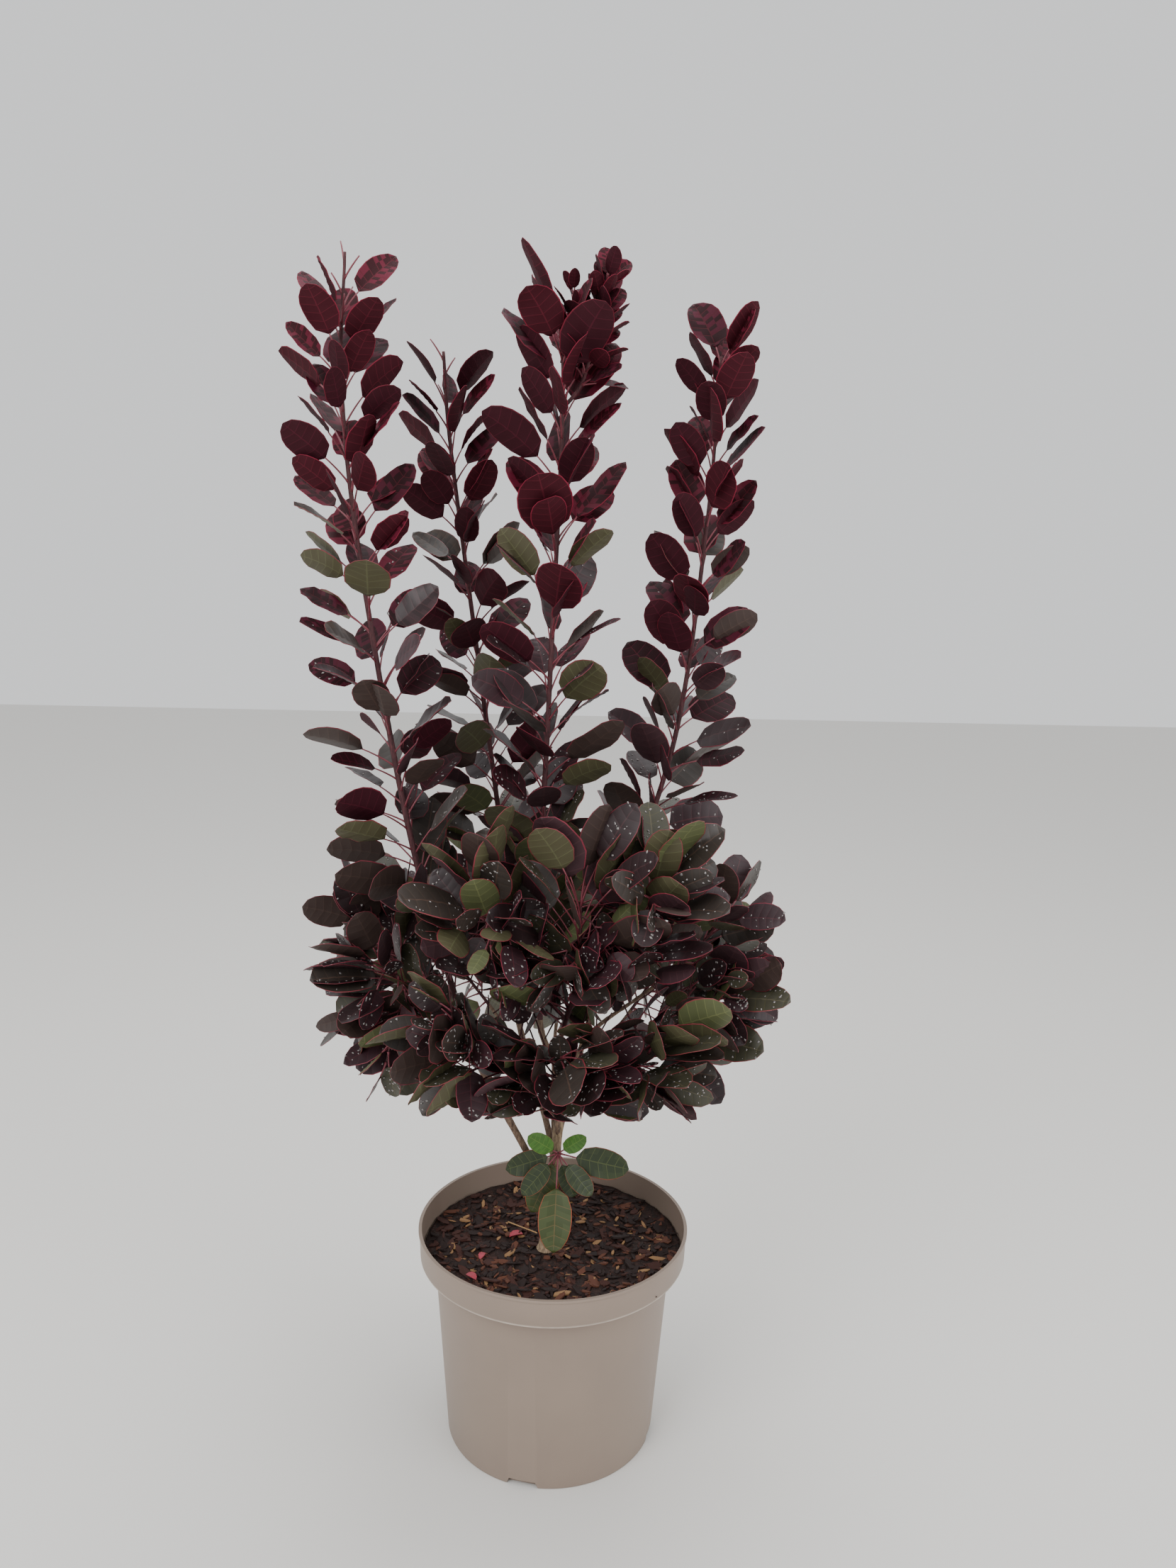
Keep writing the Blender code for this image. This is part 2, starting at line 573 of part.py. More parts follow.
def make_limbs(parts, cutters):
    """Trunk and boughs. A bough leaves its parent 0.3 mm clear of the parent's bark."""
    paths, radii = {}, {}
    paths["trunk"], radii["trunk"] = make_trunk(parts)
    trunk = limb("trunk", paths["trunk"], radii["trunk"], parts, resolution=3)
    square_foot(trunk, TRUNK_FOOT[2])
    own_material(trunk, (0.28, 0.20, 0.13), 0.8)
    sleeves = {"trunk": sleeve("trunk", paths, radii, cutters, 3)}
    for shoot in SHOOTS:
        name = "bough_" + shoot.name
        stem_path = smooth_path(shoot.stems[0].path, AXIS_STEP)
        start, parent_way = point_on(paths[shoot.parent], shoot.fork)
        if shoot.fork == 1.0:
            start = start + parent_way * SEAT
        arrive = unit(stem_path[1] - stem_path[0])
        end = stem_path[0] - arrive * SEAT
        out = unit(unit(end - start) + parent_way * 0.35)
        path = arched_path(start, parent_way if shoot.fork == 1.0 else out, end, arrive, LIMB_STATIONS)
        radius = np.linspace(shoot.bough_radius, shoot.stems[0].radius[0], len(path))
        paths[name], radii[name] = path, radius
        bough = limb(name, path, radius, parts)
        own_material(bough, (0.20, 0.14, 0.10), 0.75)
        if shoot.fork < 1.0:
            if shoot.parent not in sleeves:
                sleeves[shoot.parent] = sleeve(shoot.parent, paths, radii, cutters, LIMB_RESOLUTION)
            cut(bough, sleeves[shoot.parent])
    return paths, radii, sleeves["trunk"]


def sleeve(name, paths, radii, cutters, resolution):
    """A limb's own shape grown by the seat gap, to cut what grows from it."""
    shape = limb(name + "_sleeve", paths[name], np.array(radii[name]) + SEAT * 1.1, cutters, resolution)
    shape.hide_render = True
    shape.display_type = "WIRE"
    return shape


def make_shoots(parts, paths, radii, trunk_sleeve):
    """Every mass of leaves: a stem with its twigs, leaves and bare petioles, fused."""
    axes = {shoot.name: np.vstack([smooth_path(stem.path, AXIS_STEP) for stem in shoot.stems])
            for shoot in SHOOTS}
    fine = {name: smooth_path(path, AXIS_STEP) for name, path in paths.items()}
    limbs = np.vstack(list(fine.values()))
    limb_radii = np.concatenate([np.interp(np.linspace(0, 1, len(fine[name])),
                                           np.linspace(0, 1, len(radii[name])), radii[name])
                                 for name in fine])
    for shoot in SHOOTS:
        own = axes[shoot.name]
        others = np.vstack([axis for name, axis in axes.items() if name != shoot.name])
        pieces, placed = new_collection("pieces_" + shoot.name), []
        for stem_index, stem in enumerate(shoot.stems):
            path = squared_start(smooth_path(stem.path, AXIS_STEP),
                                 smooth_path(stem.path, STEM_STEP if stem_index == 0 else STEM_STEP / 2))
            shown = limb("leaves_" + shoot.name if stem_index == 0 else "twig", path,
                         stem_radii(stem.radius, len(path)), parts if stem_index == 0 else pieces,
                         1 if stem_index == 0 else 0)
            main = shown if stem_index == 0 else main
            for leaf, stub in fitted_leaves(shoot.name, stem, stem_index, own, others, limbs,
                                            limb_radii, placed):
                leaf_piece(leaf, stub, pieces)
        fuse(main, pieces)
        own_material(main, (0.055, 0.012, 0.020), 0.55)
    make_sprout(parts, paths, trunk_sleeve)


def make_sprout(parts, paths, trunk_sleeve):
    """The young green shoot: a short twig from the trunk's front with a fan of leaves."""
    foot, _ = point_on(paths["trunk"], SPROUT_FOOT)
    bud = foot + np.array(SPROUT_REACH)
    main = limb("leaves_sprout", [foot, bud], SPROUT_RADIUS, parts)
    pieces = new_collection("pieces_sprout")
    for leaf, stub in sprout_leaves(bud - unit(bud - foot) * 0.002):
        leaf_piece(leaf, stub, pieces)
    fuse(main, pieces)
    cut(main, trunk_sleeve)
    own_material(main, (0.060, 0.085, 0.020), 0.5)


def new_collection(name):
    collection = bpy.data.collections.new(name)
    bpy.context.scene.collection.children.link(collection)
    return collection


def main():
    for obj in list(bpy.data.objects):
        bpy.data.objects.remove(obj)
    parts, cutters = new_collection(OBJECT_NAME), new_collection("cutters")
    make_pot(parts, cutters)
    make_soil(parts)
    paths, radii, trunk_sleeve = make_limbs(parts, cutters)
    make_shoots(parts, paths, radii, trunk_sleeve)


main()
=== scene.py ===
import json
import math
import random
from collections import namedtuple

import bmesh
import bpy
import numpy as np
from mathutils import Matrix, Vector
from mathutils.noise import noise

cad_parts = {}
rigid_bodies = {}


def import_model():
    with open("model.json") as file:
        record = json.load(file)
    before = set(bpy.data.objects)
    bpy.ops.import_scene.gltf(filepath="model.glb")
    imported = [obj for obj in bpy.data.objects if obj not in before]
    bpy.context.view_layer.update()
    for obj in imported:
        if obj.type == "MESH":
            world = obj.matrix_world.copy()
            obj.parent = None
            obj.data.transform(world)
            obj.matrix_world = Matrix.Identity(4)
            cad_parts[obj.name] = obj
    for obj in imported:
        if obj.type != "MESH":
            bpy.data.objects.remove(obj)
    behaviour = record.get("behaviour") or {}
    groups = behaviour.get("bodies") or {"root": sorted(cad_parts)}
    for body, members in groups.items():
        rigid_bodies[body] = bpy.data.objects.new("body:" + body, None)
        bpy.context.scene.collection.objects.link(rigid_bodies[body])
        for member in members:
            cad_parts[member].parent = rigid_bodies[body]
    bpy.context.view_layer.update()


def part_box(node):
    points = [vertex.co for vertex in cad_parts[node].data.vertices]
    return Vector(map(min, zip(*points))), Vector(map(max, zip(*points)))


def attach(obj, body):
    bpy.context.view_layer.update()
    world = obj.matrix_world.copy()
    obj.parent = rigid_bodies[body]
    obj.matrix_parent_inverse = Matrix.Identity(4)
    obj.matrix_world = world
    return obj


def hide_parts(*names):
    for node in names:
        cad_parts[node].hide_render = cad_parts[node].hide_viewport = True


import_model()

# Camera at the photograph's place: in front of the plant, a little above its middle, looking
# down by 10.7 degrees. The position and the angles were solved from the photograph.
PHOTO_WIDTH = 1659
FOCAL_PIXELS = 1725
CAMERA_PLACE = (0.00433, -1.22220, 0.95421)
PITCH, ROLL, YAW = math.radians(10.714), math.radians(1.2735), math.radians(1.075)
forward = Vector((math.sin(YAW) * math.cos(PITCH), math.cos(YAW) * math.cos(PITCH), -math.sin(PITCH)))
level = Vector((math.cos(YAW), -math.sin(YAW), 0))
above = level.cross(forward)
right = level * math.cos(ROLL) + above * math.sin(ROLL)
upward = above * math.cos(ROLL) - level * math.sin(ROLL)
lens = bpy.data.cameras.new("photo_camera")
lens.sensor_fit = "HORIZONTAL"
lens.sensor_width = 36.0
lens.lens = FOCAL_PIXELS / PHOTO_WIDTH * lens.sensor_width
camera = bpy.data.objects.new("photo_camera", lens)
view_axes = Matrix((right, upward, -forward)).transposed().to_4x4()
camera.matrix_world = Matrix.Translation(CAMERA_PLACE) @ view_axes
bpy.context.scene.collection.objects.link(camera)
bpy.context.scene.camera = camera


# Stage: a plain pale floor under a soft white sky, with three large soft lamps, at the front
# left, at the right and above. It is only where the plant stands and isn't part of it.
FLOOR_HALF = 6.0
SKY_STRENGTH = 1.05
LAMP_AIM = Vector((0, 0, 0.6))
LAMPS = (("key", (-1.6, -2.2, 2.6), 1.8, 62), ("fill", (2.2, -1.6, 1.7), 2.0, 30),
         ("top", (0.1, 0.5, 2.9), 1.6, 34))


def linear(hex_color):
    """A screen colour such as 4a0f1c as the linear colour a shader takes."""
    values = [int(hex_color[k:k + 2], 16) / 255 for k in (0, 2, 4)]
    return (*[v / 12.92 if v <= 0.04045 else ((v + 0.055) / 1.055) ** 2.4 for v in values], 1.0)


def new_material(name):
    """A new material with nodes, and its tree and shader."""
    material = bpy.data.materials.new(name)
    material.use_nodes = True
    return material, material.node_tree, material.node_tree.nodes["Principled BSDF"]


def plain_material(name, hex_color, roughness, specular=0.5):
    """A material of one plain colour, for what is dealt out leaf by leaf or chip by chip."""
    material, _, shader = new_material(name)
    shader.inputs["Base Color"].default_value = linear(hex_color)
    shader.inputs["Roughness"].default_value = roughness
    shader.inputs["Specular IOR Level"].default_value = specular
    return material


floor_mesh = bpy.data.meshes.new("floor")
floor_corners = [(x * FLOOR_HALF, y * FLOOR_HALF, 0) for x, y in ((-1, -1), (1, -1), (1, 1), (-1, 1))]
floor_mesh.from_pydata(floor_corners, [], [(0, 1, 2, 3)])
floor = bpy.data.objects.new("floor", floor_mesh)
bpy.context.scene.collection.objects.link(floor)
# Smooth matt paper: it takes soft shadows and hardly shines.
floor_mesh.materials.append(plain_material("pale_floor", "dcdad6", 0.85))
world = bpy.data.worlds.new("studio")
world.use_nodes = True
world.node_tree.nodes["Background"].inputs["Color"].default_value = linear("f4f5f6")
world.node_tree.nodes["Background"].inputs["Strength"].default_value = SKY_STRENGTH
bpy.context.scene.world = world
for name, place, size, power in LAMPS:
    light = bpy.data.lights.new(name, "AREA")
    light.size = size
    light.energy = power
    lamp = bpy.data.objects.new(name, light)
    lamp.location = place
    lamp.rotation_euler = (LAMP_AIM - Vector(place)).to_track_quat("-Z", "Y").to_euler()
    bpy.context.scene.collection.objects.link(lamp)


# Pot: a round nursery container, injection moulded in one piece from taupe polypropylene, with
# a stepped collar, a lip round its top and four shallow drain notches in the edge of its foot.
POT_STEPS = 144
POT_SHARP_ANGLE = 28
NOTCH_COUNT, NOTCH_FIRST_AZIMUTH, NOTCH_RADIUS = 4, -104, 0.1134
NOTCH_LENGTH, NOTCH_HEIGHT, NOTCH_BELOW = 0.014, 0.0075, 0.002
NOTCH_FOOT_WIDTH, NOTCH_TOP_WIDTH = 0.036, 0.028
WEDGE_FACES = [(0, 1, 3, 2), (4, 6, 7, 5), (0, 4, 5, 1), (2, 3, 7, 6), (0, 2, 6, 4), (1, 5, 7, 3)]
# The outline's points are radius and height, from the middle of the well, over the lip, to the
# middle of the underside.
WELL = ((0.0, 0.0045), (0.1113, 0.0045), (0.1258, 0.2083), (0.1413, 0.2083), (0.1422, 0.2366))
LIP = ((0.1425, 0.2366), (0.1455, 0.2366), (0.1457, 0.2364), (0.1457, 0.2342), (0.1455, 0.2339))
COLLAR = ((0.1446, 0.2332), (0.1436, 0.2066), (0.1433, 0.2060), (0.1428, 0.2059))
BODY = ((0.1292, 0.2059), (0.1283, 0.2056), (0.1281, 0.2048), (0.1135, 0.0015))
FOOT = ((0.1130, 0.0004), (0.1119, 0.0), (0.0, 0.0))


def turned_mesh(name, profile, steps):
    """A closed solid of revolution about Z; the profile's ends lie on the axis."""
    verts, faces, rings = [], [], []
    for radius, height in profile:
        if radius == 0:
            rings.append([len(verts)] * steps)
            verts.append((0, 0, height))
        else:
            rings.append(list(range(len(verts), len(verts) + steps)))
            verts += [(radius * math.cos(2 * math.pi * k / steps), radius * math.sin(2 * math.pi * k / steps),
                       height) for k in range(steps)]
    for low, high in zip(rings, rings[1:]):
        for k in range(steps):
            corners = [low[k], low[(k + 1) % steps], high[(k + 1) % steps], high[k]]
            faces.append([c for i, c in enumerate(corners) if c not in corners[:i]])
    mesh = bpy.data.meshes.new(name)
    mesh.from_pydata(verts, [], faces)
    return mesh


def outward(mesh):
    """Turn every face of a closed mesh outwards."""
    shape = bmesh.new()
    shape.from_mesh(mesh)
    bmesh.ops.recalc_face_normals(shape, faces=shape.faces)
    shape.to_mesh(mesh)
    shape.free()


def add_piece(name, mesh):
    """Put a mesh into the scene as an object of its own."""
    piece = bpy.data.objects.new(name, mesh)
    bpy.context.scene.collection.objects.link(piece)
    return piece


pot = add_piece("pot_moulded", turned_mesh("pot_moulded", WELL + LIP + COLLAR + BODY + FOOT, POT_STEPS))
outward(pot.data)
for index in range(NOTCH_COUNT):
    turn = math.radians(NOTCH_FIRST_AZIMUTH + index * 360 / NOTCH_COUNT)
    corners = []
    for x in (-NOTCH_LENGTH / 2, NOTCH_LENGTH / 2):
        for y in (-0.5, 0.5):
            corners += [(x, y * NOTCH_FOOT_WIDTH, -NOTCH_BELOW), (x, y * NOTCH_TOP_WIDTH, NOTCH_HEIGHT)]
    wedge = bpy.data.meshes.new("notch")
    wedge.from_pydata(corners, [], WEDGE_FACES)
    outward(wedge)
    cutter = add_piece("notch", wedge)
    at_edge = Matrix.Translation((NOTCH_RADIUS * math.cos(turn), NOTCH_RADIUS * math.sin(turn), 0))
    cutter.matrix_world = at_edge @ Matrix.Rotation(turn, 4, "Z")
    notch = pot.modifiers.new("Notch", "BOOLEAN")
    notch.operation = "DIFFERENCE"
    notch.solver = "EXACT"
    notch.object = cutter
    bpy.context.view_layer.update()
    cut_mesh = bpy.data.meshes.new_from_object(pot.evaluated_get(bpy.context.evaluated_depsgraph_get()))
    pot.modifiers.clear()
    pot.data = cut_mesh
    bpy.data.objects.remove(cutter)
pot.data.name = "pot_moulded"
for polygon in pot.data.polygons:
    polygon.use_smooth = True
pot.data.set_sharp_from_angle(angle=math.radians(POT_SHARP_ANGLE))

# Moulded polypropylene, dulled by handling: a satin taupe that is a little cloudy, fine pale
# scratches that run round it, and a pale worn line of flash along the collar's lower edge.
# Sizes of the patterns in millimetres. The mould's grain is drawn coarser than it is, to show.
CLOUD_MM, WORN_PATCH_MM, GRAIN_MM = 71.4, 16.67, 1.111
SCRATCH_LENGTH_MM, SCRATCH_WIDTH_MM = 18.52, 1.235
FLASH_HEIGHT, FLASH_HALF, FLASH_CORE = 0.2068, 0.0016, 0.0004


def per_metre(millimetres):
    """The scale of a pattern whose marks have this size."""
    return 1000 / millimetres


def node(tree, kind, settings=None, values=None, links=None):
    """Add a node with its settings, its sockets' values and its incoming links."""
    added = tree.nodes.new(kind)
    for name, value in (settings or {}).items():
        setattr(added, name, value)
    for socket, value in (values or {}).items():
        added.inputs[socket].default_value = value
    for socket, source in (links or {}).items():
        tree.links.new(source, added.inputs[socket])
    return added


taupe, tree, shader = new_material("taupe_moulded_plastic")
place = node(tree, "ShaderNodeTexCoord").outputs["Object"]
height = node(tree, "ShaderNodeSeparateXYZ", links={"Vector": place}).outputs["Z"]
clouds = node(tree, "ShaderNodeTexNoise", values={"Scale": per_metre(CLOUD_MM), "Detail": 4.0},
              links={"Vector": place})
body_color = node(tree, "ShaderNodeMix", {"data_type": "RGBA"},
                  {6: linear("86766b"), 7: linear("958476")}, {0: clouds.outputs["Fac"]})
scratch_scale = (per_metre(SCRATCH_LENGTH_MM), per_metre(SCRATCH_LENGTH_MM), per_metre(SCRATCH_WIDTH_MM))
stretched = node(tree, "ShaderNodeMapping", values={"Scale": scratch_scale}, links={"Vector": place})
scratches = node(tree, "ShaderNodeTexNoise", values={"Scale": 1.0, "Detail": 8.0, "Roughness": 0.75},
                 links={"Vector": stretched.outputs["Vector"]})
scratch_mask = node(tree, "ShaderNodeMapRange", values={"From Min": 0.66, "From Max": 0.74},
                    links={"Value": scratches.outputs["Fac"]})
scratched = node(tree, "ShaderNodeMix", {"data_type": "RGBA"}, {7: linear("a6988b")},
                 {0: scratch_mask.outputs["Result"], 6: body_color.outputs[2]})
near_collar = node(tree, "ShaderNodeMath", {"operation": "SUBTRACT"}, {1: FLASH_HEIGHT}, {0: height})
collar_gap = node(tree, "ShaderNodeMath", {"operation": "ABSOLUTE"}, links={0: near_collar.outputs[0]})
flash = node(tree, "ShaderNodeMapRange", values={"From Min": FLASH_HALF, "From Max": FLASH_CORE},
             links={"Value": collar_gap.outputs[0]})
worn = node(tree, "ShaderNodeTexNoise", values={"Scale": per_metre(WORN_PATCH_MM), "Detail": 3.0},
            links={"Vector": place})
flash_worn = node(tree, "ShaderNodeMath", {"operation": "MULTIPLY"},
                  links={0: flash.outputs[0], 1: worn.outputs["Fac"]})
finished = node(tree, "ShaderNodeMix", {"data_type": "RGBA"}, {7: linear("c9bdb0")},
                {0: flash_worn.outputs[0], 6: scratched.outputs[2]})
tree.links.new(finished.outputs[2], shader.inputs["Base Color"])
rough = node(tree, "ShaderNodeMapRange", values={"To Min": 0.36, "To Max": 0.56},
             links={"Value": clouds.outputs["Fac"]})
tree.links.new(rough.outputs[0], shader.inputs["Roughness"])
grain = node(tree, "ShaderNodeTexNoise", values={"Scale": per_metre(GRAIN_MM), "Detail": 2.0},
             links={"Vector": place})
relief = node(tree, "ShaderNodeBump", values={"Strength": 0.12, "Distance": 0.0002},
              links={"Height": grain.outputs["Fac"]})
tree.links.new(relief.outputs[0], shader.inputs["Normal"])
pot.data.materials.append(taupe)
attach(pot, "root")
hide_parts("pot")


# Soil: composted bark that fills the pot to a little over its ledge and dips towards the middle.
# It was poured in and settled with water, so its fines lie in soft uneven lumps.
SOIL_EDGE, SOIL_EDGE_HEIGHT, SOIL_MIDDLE_HEIGHT = 0.1396, 0.2115, 0.2040
SOIL_RINGS, SOIL_SPOKES = 40, 150
SOIL_FLAT_SHARE, SOIL_SETTLING = 0.35, 0.001
SOIL_LUMPS = ((0.0022, 60, 3.0), (0.0012, 190, 9.0))
BED_FOOT_SHARE, BED_FOOT_HEIGHT, BED_MIDDLE_FOOT_HEIGHT = 0.995, 0.2088, 0.2
CRUMB_MM = 3.125


def soil_height(x, y):
    """The bed's height: level in the middle, rising to the edge, with lumps of two sizes."""
    run = math.hypot(x, y) / SOIL_EDGE
    rise = min(1.0, max(0.0, run - SOIL_FLAT_SHARE) / (1 - SOIL_FLAT_SHARE))
    swell = SOIL_MIDDLE_HEIGHT + (SOIL_EDGE_HEIGHT - SOIL_MIDDLE_HEIGHT) * rise
    lumps = sum(size * noise((x * often, y * often, layer)) for size, often, layer in SOIL_LUMPS)
    return swell - SOIL_SETTLING + lumps


verts = [(0, 0, soil_height(0, 0))]
for ring in range(1, SOIL_RINGS + 1):
    radius = SOIL_EDGE * ring / SOIL_RINGS
    for spoke in range(SOIL_SPOKES):
        turn = 2 * math.pi * spoke / SOIL_SPOKES
        x, y = radius * math.cos(turn), radius * math.sin(turn)
        verts.append((x, y, soil_height(x, y)))
first_rim = len(verts) - SOIL_SPOKES
for x, y, _ in verts[first_rim:]:
    verts.append((x * BED_FOOT_SHARE, y * BED_FOOT_SHARE, BED_FOOT_HEIGHT))
verts.append((0, 0, BED_MIDDLE_FOOT_HEIGHT))
bottom = first_rim + SOIL_SPOKES
faces = [(0, 1 + k, 1 + (k + 1) % SOIL_SPOKES) for k in range(SOIL_SPOKES)]
for ring in range(SOIL_RINGS):
    inner = 1 + ring * SOIL_SPOKES
    outer = inner + SOIL_SPOKES
    faces += [(inner + k, outer + k, outer + (k + 1) % SOIL_SPOKES, inner + (k + 1) % SOIL_SPOKES)
              for k in range(SOIL_SPOKES)]
faces += [(bottom + k, len(verts) - 1, bottom + (k + 1) % SOIL_SPOKES) for k in range(SOIL_SPOKES)]
bed_mesh = bpy.data.meshes.new("soil_bed")
bed_mesh.from_pydata(verts, [], faces)
outward(bed_mesh)
for polygon in bed_mesh.polygons:
    polygon.use_smooth = True
# Damp bark fines: almost black and without gloss, each crumb a brown of its own, so that the
# paler chips on them stand out.
fines, tree, shader = new_material("dark_bark_fines")
place = node(tree, "ShaderNodeTexCoord").outputs["Object"]
crumbs = node(tree, "ShaderNodeTexVoronoi", values={"Scale": per_metre(CRUMB_MM)}, links={"Vector": place})
browns = node(tree, "ShaderNodeMix", {"data_type": "RGBA"}, {6: linear("140a08"), 7: linear("3a2018")},
              {0: crumbs.outputs["Color"]})
tree.links.new(browns.outputs[2], shader.inputs["Base Color"])
shader.inputs["Roughness"].default_value = 0.85
relief = node(tree, "ShaderNodeBump", values={"Strength": 0.9, "Distance": 0.0012},
              links={"Height": crumbs.outputs["Distance"]})
tree.links.new(relief.outputs[0], shader.inputs["Normal"])
bed_mesh.materials.append(fines)
bed = add_piece("soil_bed", bed_mesh)
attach(bed, "root")
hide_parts("soil")


# Bark chips: broken flakes of bark, spread as a mulch and lying loose on the fines as they fell.
# Each is thin, flat and six-cornered, and about one in five is twice the others' size.
CHIP_COUNT = 1500
CHIP_EDGE_GAP, TRUNK_GAP = 0.006, 0.012
TRUNK_FOOT = (-0.008, 0.000, 0.2043)
CHIP_HALF, LARGE_CHIP_SHARE, LARGE_CHIP = (0.003, 0.0065), 0.22, 2.2
CHIP_BREADTH, CHIP_THICKNESS, CHIP_LIFT = (0.22, 0.6), (0.0006, 0.0016), (0.0004, 0.0024)
CHIP_ROLL, CHIP_PITCH = (-0.4, 0.4), (-0.3, 0.3)
LENGTH_SCATTER, BREADTH_SCATTER, THICKNESS_SCATTER = (0.8, 1.1), (0.7, 1.1), (0.6, 1.3)
CHIP_OUTLINE = ((-1, -0.5), (-0.35, -1), (0.6, -0.8), (1, 0.1), (0.3, 1), (-0.7, 0.7))
# Dry broken bark, matt: four browns from nearly black to tan, each with its share of the chips.
CHIP_COLORS = (("chip_dark_red_brown", "22100c", 46), ("chip_red_brown", "3c1c14", 30),
               ("chip_brown", "5c3423", 16), ("chip_tan", "94704c", 8))
CHIP_ROUGHNESS = 0.8


def slab_faces(first, corners):
    """The faces of a closed slab, whose upper outline comes first and its lower one after it."""
    lower = first + corners
    walls = [(first + k, first + (k + 1) % corners, lower + (k + 1) % corners, lower + k)
             for k in range(corners)]
    return [tuple(range(first, lower)), tuple(range(lower + corners - 1, lower - 1, -1))] + walls


def tinted_piece(name, verts, faces, tints, materials):
    """Put a closed mesh into the scene, each of whose faces takes one of its materials."""
    mesh = bpy.data.meshes.new(name)
    mesh.from_pydata(verts, [], faces)
    mesh.polygons.foreach_set("material_index", tints)
    outward(mesh)
    for material in materials:
        mesh.materials.append(material)
    return add_piece(name, mesh)


rng = random.Random("bark chips")
verts, faces, tints = [], [], []
for index in range(CHIP_COUNT):
    radius, turn = (SOIL_EDGE - CHIP_EDGE_GAP) * math.sqrt(rng.random()), rng.uniform(0, 2 * math.pi)
    x, y = radius * math.cos(turn), radius * math.sin(turn)
    if math.hypot(x - TRUNK_FOOT[0], y - TRUNK_FOOT[1]) < TRUNK_GAP:
        continue
    size = rng.uniform(*CHIP_HALF) * (LARGE_CHIP if rng.random() < LARGE_CHIP_SHARE else 1.0)
    breadth, thick = size * rng.uniform(*CHIP_BREADTH), rng.uniform(*CHIP_THICKNESS)
    spin = Matrix.Rotation(rng.uniform(0, math.pi), 3, "Z")
    roll = Matrix.Rotation(rng.uniform(*CHIP_ROLL), 3, "X")
    tilt = spin @ roll @ Matrix.Rotation(rng.uniform(*CHIP_PITCH), 3, "Y")
    middle = Vector((x, y, soil_height(x, y) + rng.uniform(*CHIP_LIFT)))
    outline = [(a * size * rng.uniform(*LENGTH_SCATTER), b * breadth * rng.uniform(*BREADTH_SCATTER))
               for a, b in CHIP_OUTLINE]
    chip_faces = slab_faces(len(verts), len(outline))
    for side in (thick / 2, -thick / 2):
        verts += [tuple(middle + tilt @ Vector((a, b, side * rng.uniform(*THICKNESS_SCATTER))))
                  for a, b in outline]
    faces += chip_faces
    tint = rng.choices(range(len(CHIP_COLORS)), [share for _, _, share in CHIP_COLORS])[0]
    tints += [tint] * len(chip_faces)
chip_materials = [plain_material(name, color, CHIP_ROUGHNESS) for name, color, _ in CHIP_COLORS]
chips = tinted_piece("bark_chips", verts, faces, tints, chip_materials)
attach(chips, "root")
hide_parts("soil")


# Fallen bits: three curled scraps of dead leaf and one thin dry twig, which lie loose on the
# bark to the left of the trunk. A scrap is an oval whose sides curl up.
SCRAPS = ((-0.041, 0.022, 0.008, 20), (-0.076, -0.023, 0.006, 75), (-0.084, -0.067, 0.007, 140))
SCRAP_CORNERS, SCRAP_BREADTH, SCRAP_CURL = 10, 0.6, 0.9
SCRAP_LIFT, SCRAP_THICKNESS = 0.0036, 0.0005
DRY_TWIG, DRY_TWIG_LIFT = ((-0.051, 0.044), (-0.018, 0.026)), 0.0045
DRY_TWIG_SIDES, DRY_TWIG_HALF = 6, (0.0004, 0.0006, 0.0007)
verts, faces, tints = [], [], []
for x, y, size, heading in SCRAPS:
    faces += slab_faces(len(verts), SCRAP_CORNERS)
    turn = math.radians(heading)
    for lift in (0.0, -SCRAP_THICKNESS):
        for k in range(SCRAP_CORNERS):
            corner = 2 * math.pi * k / SCRAP_CORNERS
            along, across = size * math.cos(corner), size * SCRAP_BREADTH * math.sin(corner)
            verts.append((x + along * math.cos(turn) - across * math.sin(turn),
                          y + along * math.sin(turn) + across * math.cos(turn),
                          soil_height(x, y) + SCRAP_LIFT + SCRAP_CURL * abs(across) + lift))
tints += [0] * len(faces)
faces += slab_faces(len(verts), DRY_TWIG_SIDES)
for x, y in DRY_TWIG:
    for k in range(DRY_TWIG_SIDES):
        turn = 2 * math.pi * k / DRY_TWIG_SIDES
        verts.append((x + DRY_TWIG_HALF[0] * math.cos(turn), y + DRY_TWIG_HALF[1] * math.cos(turn),
                      soil_height(x, y) + DRY_TWIG_LIFT + DRY_TWIG_HALF[2] * math.sin(turn)))
tints += [1] * (len(faces) - len(tints))
# Dead leaf keeps a faint sheen and its pinkish red; the dry twig is tan and matt.
dead_leaf = plain_material("fallen_leaf_pinkish_red", "a8404e", 0.6)
dry_wood = plain_material("dry_tan_twig", "b08a5c", 0.7)
scraps = tinted_piece("fallen_bits", verts, faces, tints, [dead_leaf, dry_wood])
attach(scraps, "root")
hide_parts("soil")


# Trunk: one slender woody stem with thin flaky bark, grown out of the compost with a small flare
# at its foot. It tapers and leans a little up to the fork.
TRUNK_TOP, TRUNK_STATIONS = (0.006, 0.001, 0.380), 9
TRUNK_FOOT_RADIUS, TRUNK_TOP_RADIUS = 0.0073, 0.0046
FLARE_RADIUS, FLARE_HEIGHT = 0.0100, 0.012
FLARE_MIDDLE_SHARE, FLARE_MIDDLE_SWELL = 0.4, 1.1
TRUNK_RINGS, TRUNK_SIDES = 130, 36
# Ridges and flakes: how high they stand, how close round the trunk, and how many to a metre.
TRUNK_RELIEF = ((0.00075, 3.0, 45), (0.00040, 7.0, 160))
# Bark flakes lie lengthwise: this is how wide they are for their length.
FLAKE_STRETCH = 0.22


def unit(vector):
    return vector / np.linalg.norm(vector)


